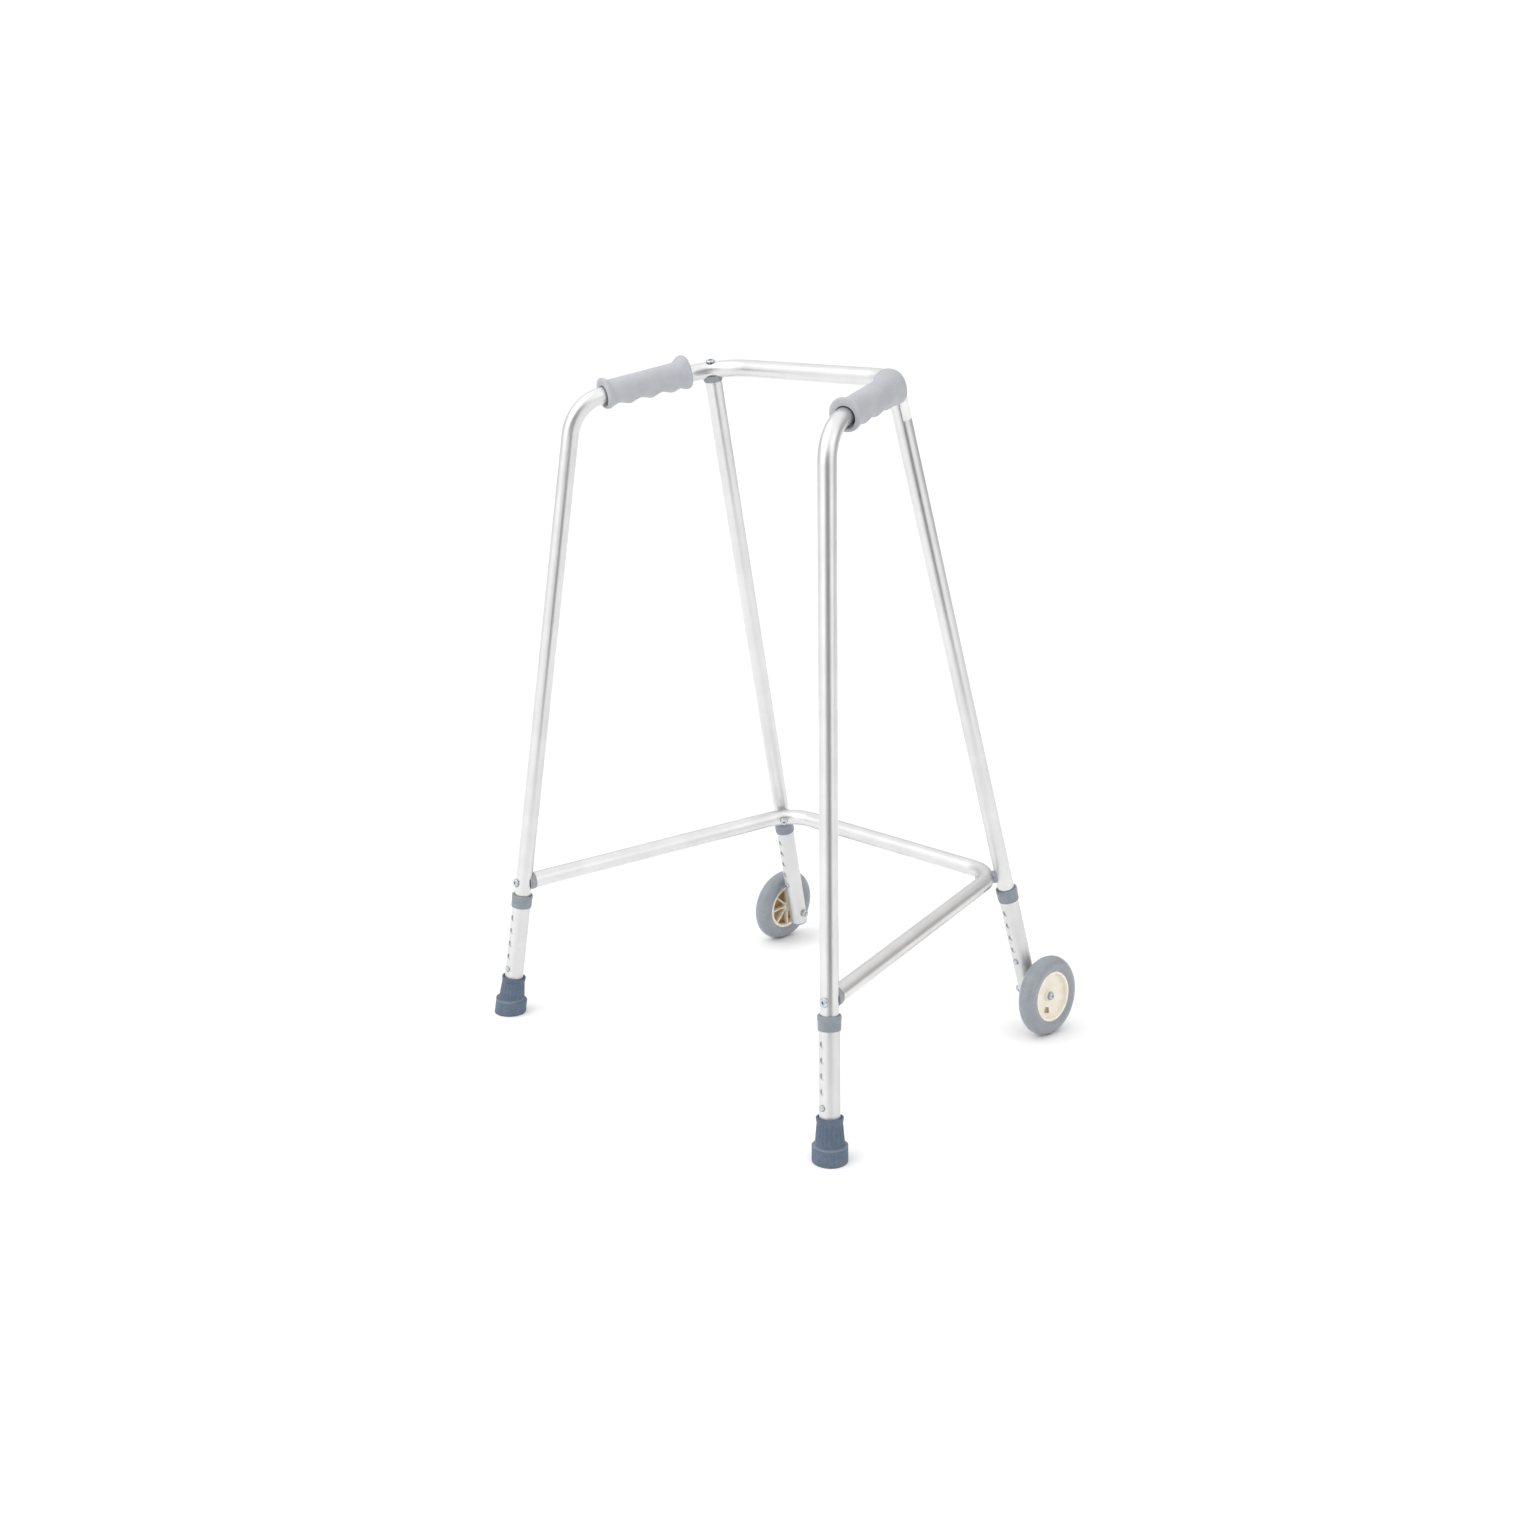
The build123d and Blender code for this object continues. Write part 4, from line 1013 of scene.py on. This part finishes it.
class FRAME_OT_axle_nuts(bpy.types.Operator):
    """Turn and press the chamfered lock nuts of the axles"""
    bl_idname = "walking_frame.axle_nuts"
    bl_label = "Axle nuts"

    def execute(self, context):
        sizes = context.scene.walking_frame_fittings
        width, height = sizes.nut_width, sizes.nut_height
        around = 96
        corner = width / 2 / math.cos(math.pi / 6)
        bevel = (corner - width / 2) * 0.58
        # (height, largest radius, share of the hexagon): the top is a round collar that holds the nylon ring.
        levels = [(0, width / 2 - 0.1 * MM, 1), (bevel, corner, 1), (height * 0.62, corner, 1),
                  (height * 0.62 + bevel, width / 2 - 0.2 * MM, 1),
                  (height - 0.9 * MM, width / 2 - 0.5 * MM, 0),
                  (height - 0.25 * MM, width / 2 - 0.75 * MM, 0), (height, width / 2 - 1.4 * MM, 0)]
        for side in SIDES:
            low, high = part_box(f"axle_nut_{side}")
            inward = -wheel_place(side).to_3x3().col[2]
            place = axes_at((low + high) / 2 - inward * (height / 2), inward, Vector((0, -1, 0)))
            rings = []
            for level, most, six in levels:
                ring = []
                for i in range(around):
                    angle = TURN * i / around
                    turn = (angle + math.pi / 6) % (math.pi / 3) - math.pi / 6
                    radius = min(most, width / 2 / math.cos(turn)) if six else most
                    ring.append(Vector((radius * math.cos(angle), radius * math.sin(angle), level)))
                rings.append(ring)
            thread = sizes.nut_thread
            rings += turned_rings([(thread + 0.4 * MM, height), (thread, height - 0.5 * MM),
                                   (thread, 0.5 * MM), (thread + 0.4 * MM, 0)], around)
            mesh = solid_from(f"axle_lock_nut_{side}", rings, place, smooth_angle=32)
            add_piece(f"axle_lock_nut_{side}", mesh, f"lower_leg_front_{side}",
                      "zinc_steel", f"axle_nut_{side}")
        return {"FINISHED"}


# ---------------------------------------------------------------- stage
def flat_sheet(name, corners, slot):
    """A flat sheet on the studio floor."""
    mesh = bpy.data.meshes.new(name)
    mesh.from_pydata(corners, [], [tuple(range(len(corners)))])
    mesh.materials.append(finish(slot))
    sheet = bpy.data.objects.new(name, mesh)
    bpy.context.scene.collection.objects.link(sheet)
    return sheet


def soft_room(settings):
    """A white room with soft lights at both sides of the camera, warmer and darker behind on the right."""
    world = bpy.data.worlds.new("white_room")
    bpy.context.scene.world = world
    world.use_nodes = True
    tree = world.node_tree
    tree.nodes.clear()
    way = add_node(tree, "ShaderNodeTexCoord").outputs["Generated"]
    right = Vector((math.cos(settings.azimuth), math.sin(settings.azimuth), 0))
    near = Vector((math.sin(settings.azimuth), -math.cos(settings.azimuth), 0))

    overhead = Vector((0, 0, 1))
    light = (1.0, 1.0, 1.0, 1.0)
    # (direction, cosine where the patch is full, cosine where it ends, its light); later ones cover earlier ones.
    # The camera looks through the last one, the open and dark side of the room.
    patches = (
        (right - near * 0.35, 1.0, 0.2, (0.64, 0.615, 0.59, 1.0)),
        (near * 0.55 - right * 0.8 + overhead * 0.35, 0.97, 0.6, (1.9, 1.9, 1.92, 1.0)),
        (near * 0.65 + right * 0.7 + overhead * 0.4, 0.96, 0.75, (1.7, 1.7, 1.71, 1.0)),
        (overhead, 0.95, 0.5, (1.3, 1.3, 1.31, 1.0)),
        (near + right * 0.06 + overhead * 0.05, 0.975, 0.77, (0.26, 0.26, 0.265, 1.0)),
    )
    for toward, full, end, patch in patches:
        along = add_node(tree, "ShaderNodeVectorMath", {"operation": "DOT_PRODUCT"},
                         {0: way, 1: toward.normalized()}).outputs["Value"]
        share = add_node(tree, "ShaderNodeMapRange", {"interpolation_type": "SMOOTHSTEP"},
                         {"Value": along, "From Min": end, "From Max": full}).outputs[0]
        mix = add_node(tree, "ShaderNodeMix", {"data_type": "RGBA"}, {0: share, 6: light, 7: patch})
        light = mix.outputs[2]
    lit = add_node(tree, "ShaderNodeBackground", None, {"Color": light, "Strength": settings.sky})
    seen = add_node(tree, "ShaderNodeBackground", None, {"Color": (1.0, 1.0, 1.0, 1.0), "Strength": 1.05})
    camera = add_node(tree, "ShaderNodeLightPath").outputs["Is Camera Ray"]
    both = add_node(tree, "ShaderNodeMixShader", None, {0: camera, 1: lit.outputs[0], 2: seen.outputs[0]})
    add_node(tree, "ShaderNodeOutputWorld", None, {"Surface": both.outputs[0]})


class FRAME_OT_stage(bpy.types.Operator):
    """Lay the paper, light the room and set up the camera"""
    bl_idname = "walking_frame.stage"
    bl_label = "Studio"

    def execute(self, context):
        settings = context.scene.walking_frame_studio
        azimuth, elevation, roll = settings.azimuth, settings.elevation, settings.roll
        rim = turned_rings([(settings.floor_radius, -0.05 * MM)], 64)[0]
        flat_sheet("paper_floor", rim, "paper")
        turn = azimuth + settings.card_turn
        ahead = Vector((math.sin(turn), -math.cos(turn), 0))
        across = Vector((math.cos(turn), math.sin(turn), 0))
        near = Vector((math.sin(azimuth), -math.cos(azimuth), 0))
        aside = Vector((math.cos(azimuth), math.sin(azimuth), 0))
        lift = Vector((0, 0, 2 * MM))
        middle = near * settings.card_edge + aside * settings.card_aside + lift
        far = middle + ahead * settings.card_length
        half, far_half = settings.card_width / 2, settings.card_far_width / 2
        card = flat_sheet("dark_card", [middle - aside * half, middle + aside * half,
                                        far + across * far_half, far - across * far_half], "dark_card")
        # Only the metal's gloss sees the card: the floor itself stays pale and unshaded.
        card.visible_camera = card.visible_diffuse = card.visible_shadow = card.visible_transmission = False
        soft_room(settings)
        lamp = bpy.data.lights.new("softbox", "AREA")
        lamp.shape, lamp.size, lamp.size_y, lamp.energy = "RECTANGLE", 2.2, 1.6, settings.key
        softbox = bpy.data.objects.new("softbox", lamp)
        context.scene.collection.objects.link(softbox)
        # The softbox stands high at the camera's left and faces the middle of the frame.
        softbox.location = near * 0.6 - aside * 1.5 + Vector((0, 0, 2.6))
        softbox.rotation_euler = (Vector((0, 0, 0.4)) - softbox.location).to_track_quat("-Z", "Y").to_euler()
        overhead = bpy.data.lights.new("ceiling", "SUN")
        overhead.energy, overhead.angle = settings.ceiling, math.radians(130)
        ceiling = bpy.data.objects.new("ceiling", overhead)
        context.scene.collection.objects.link(ceiling)
        camera = bpy.data.objects.new("camera", bpy.data.cameras.new("camera"))
        context.scene.collection.objects.link(camera)
        back = near * math.cos(elevation) + Vector((0, 0, math.sin(elevation)))
        up = back.cross(aside)
        x_axis = aside * math.cos(roll) + up * math.sin(roll)
        y_axis = up * math.cos(roll) - aside * math.sin(roll)
        turned = Matrix((x_axis, y_axis, back)).transposed().to_4x4()
        camera.matrix_world = Matrix.Translation(settings.camera_place) @ turned
        camera.data.lens = settings.lens
        camera.data.sensor_width = 36.0
        camera.data.clip_start, camera.data.clip_end = 0.05, 60.0
        context.scene.camera = camera
        context.scene.view_settings.view_transform = "Standard"
        return {"FINISHED"}


OPERATORS = (FRAME_OT_tubes, FRAME_OT_fasteners, FRAME_OT_grips, FRAME_OT_feet, FRAME_OT_tyres, FRAME_OT_hubs,
             FRAME_OT_collars, FRAME_OT_saddles, FRAME_OT_axle_nuts, FRAME_OT_stage)
SETTINGS = {
    "walking_frame_grips": GripSizes,
    "walking_frame_feet": FootSizes,
    "walking_frame_wheels": WheelSizes,
    "walking_frame_fittings": FittingSizes,
    "walking_frame_colours": FrameColours,
    "walking_frame_studio": StudioSettings,
}


class FRAME_PT_panel(bpy.types.Panel):
    """The walking frame's pieces, sizes and colours"""
    bl_idname = "FRAME_PT_panel"
    bl_label = "Walking frame"
    bl_space_type = "VIEW_3D"
    bl_region_type = "UI"
    bl_category = "Walking frame"

    def draw(self, context):
        column = self.layout.column(align=True)
        for operator in OPERATORS:
            column.operator(operator.bl_idname)
        for name, kind in SETTINGS.items():
            box = self.layout.box()
            for setting in kind.__annotations__:
                box.prop(getattr(context.scene, name), setting)


def register():
    """Registers the settings, the operators and the panel."""
    for kind in (*SETTINGS.values(), *OPERATORS, FRAME_PT_panel):
        bpy.utils.register_class(kind)
    for name, kind in SETTINGS.items():
        setattr(bpy.types.Scene, name, PointerProperty(type=kind))


def unregister():
    """Takes everything out again."""
    for name in SETTINGS:
        delattr(bpy.types.Scene, name)
    for kind in (FRAME_PT_panel, *reversed(OPERATORS), *reversed(SETTINGS.values())):
        bpy.utils.unregister_class(kind)


def main():
    """Makes and dresses every piece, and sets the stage."""
    register()
    bpy.ops.walking_frame.tubes()
    bpy.ops.walking_frame.fasteners()
    bpy.ops.walking_frame.grips()
    bpy.ops.walking_frame.feet()
    bpy.ops.walking_frame.tyres()
    bpy.ops.walking_frame.hubs()
    bpy.ops.walking_frame.collars()
    bpy.ops.walking_frame.saddles()
    bpy.ops.walking_frame.axle_nuts()
    bpy.ops.walking_frame.stage()


if __name__ == "__main__":
    main()
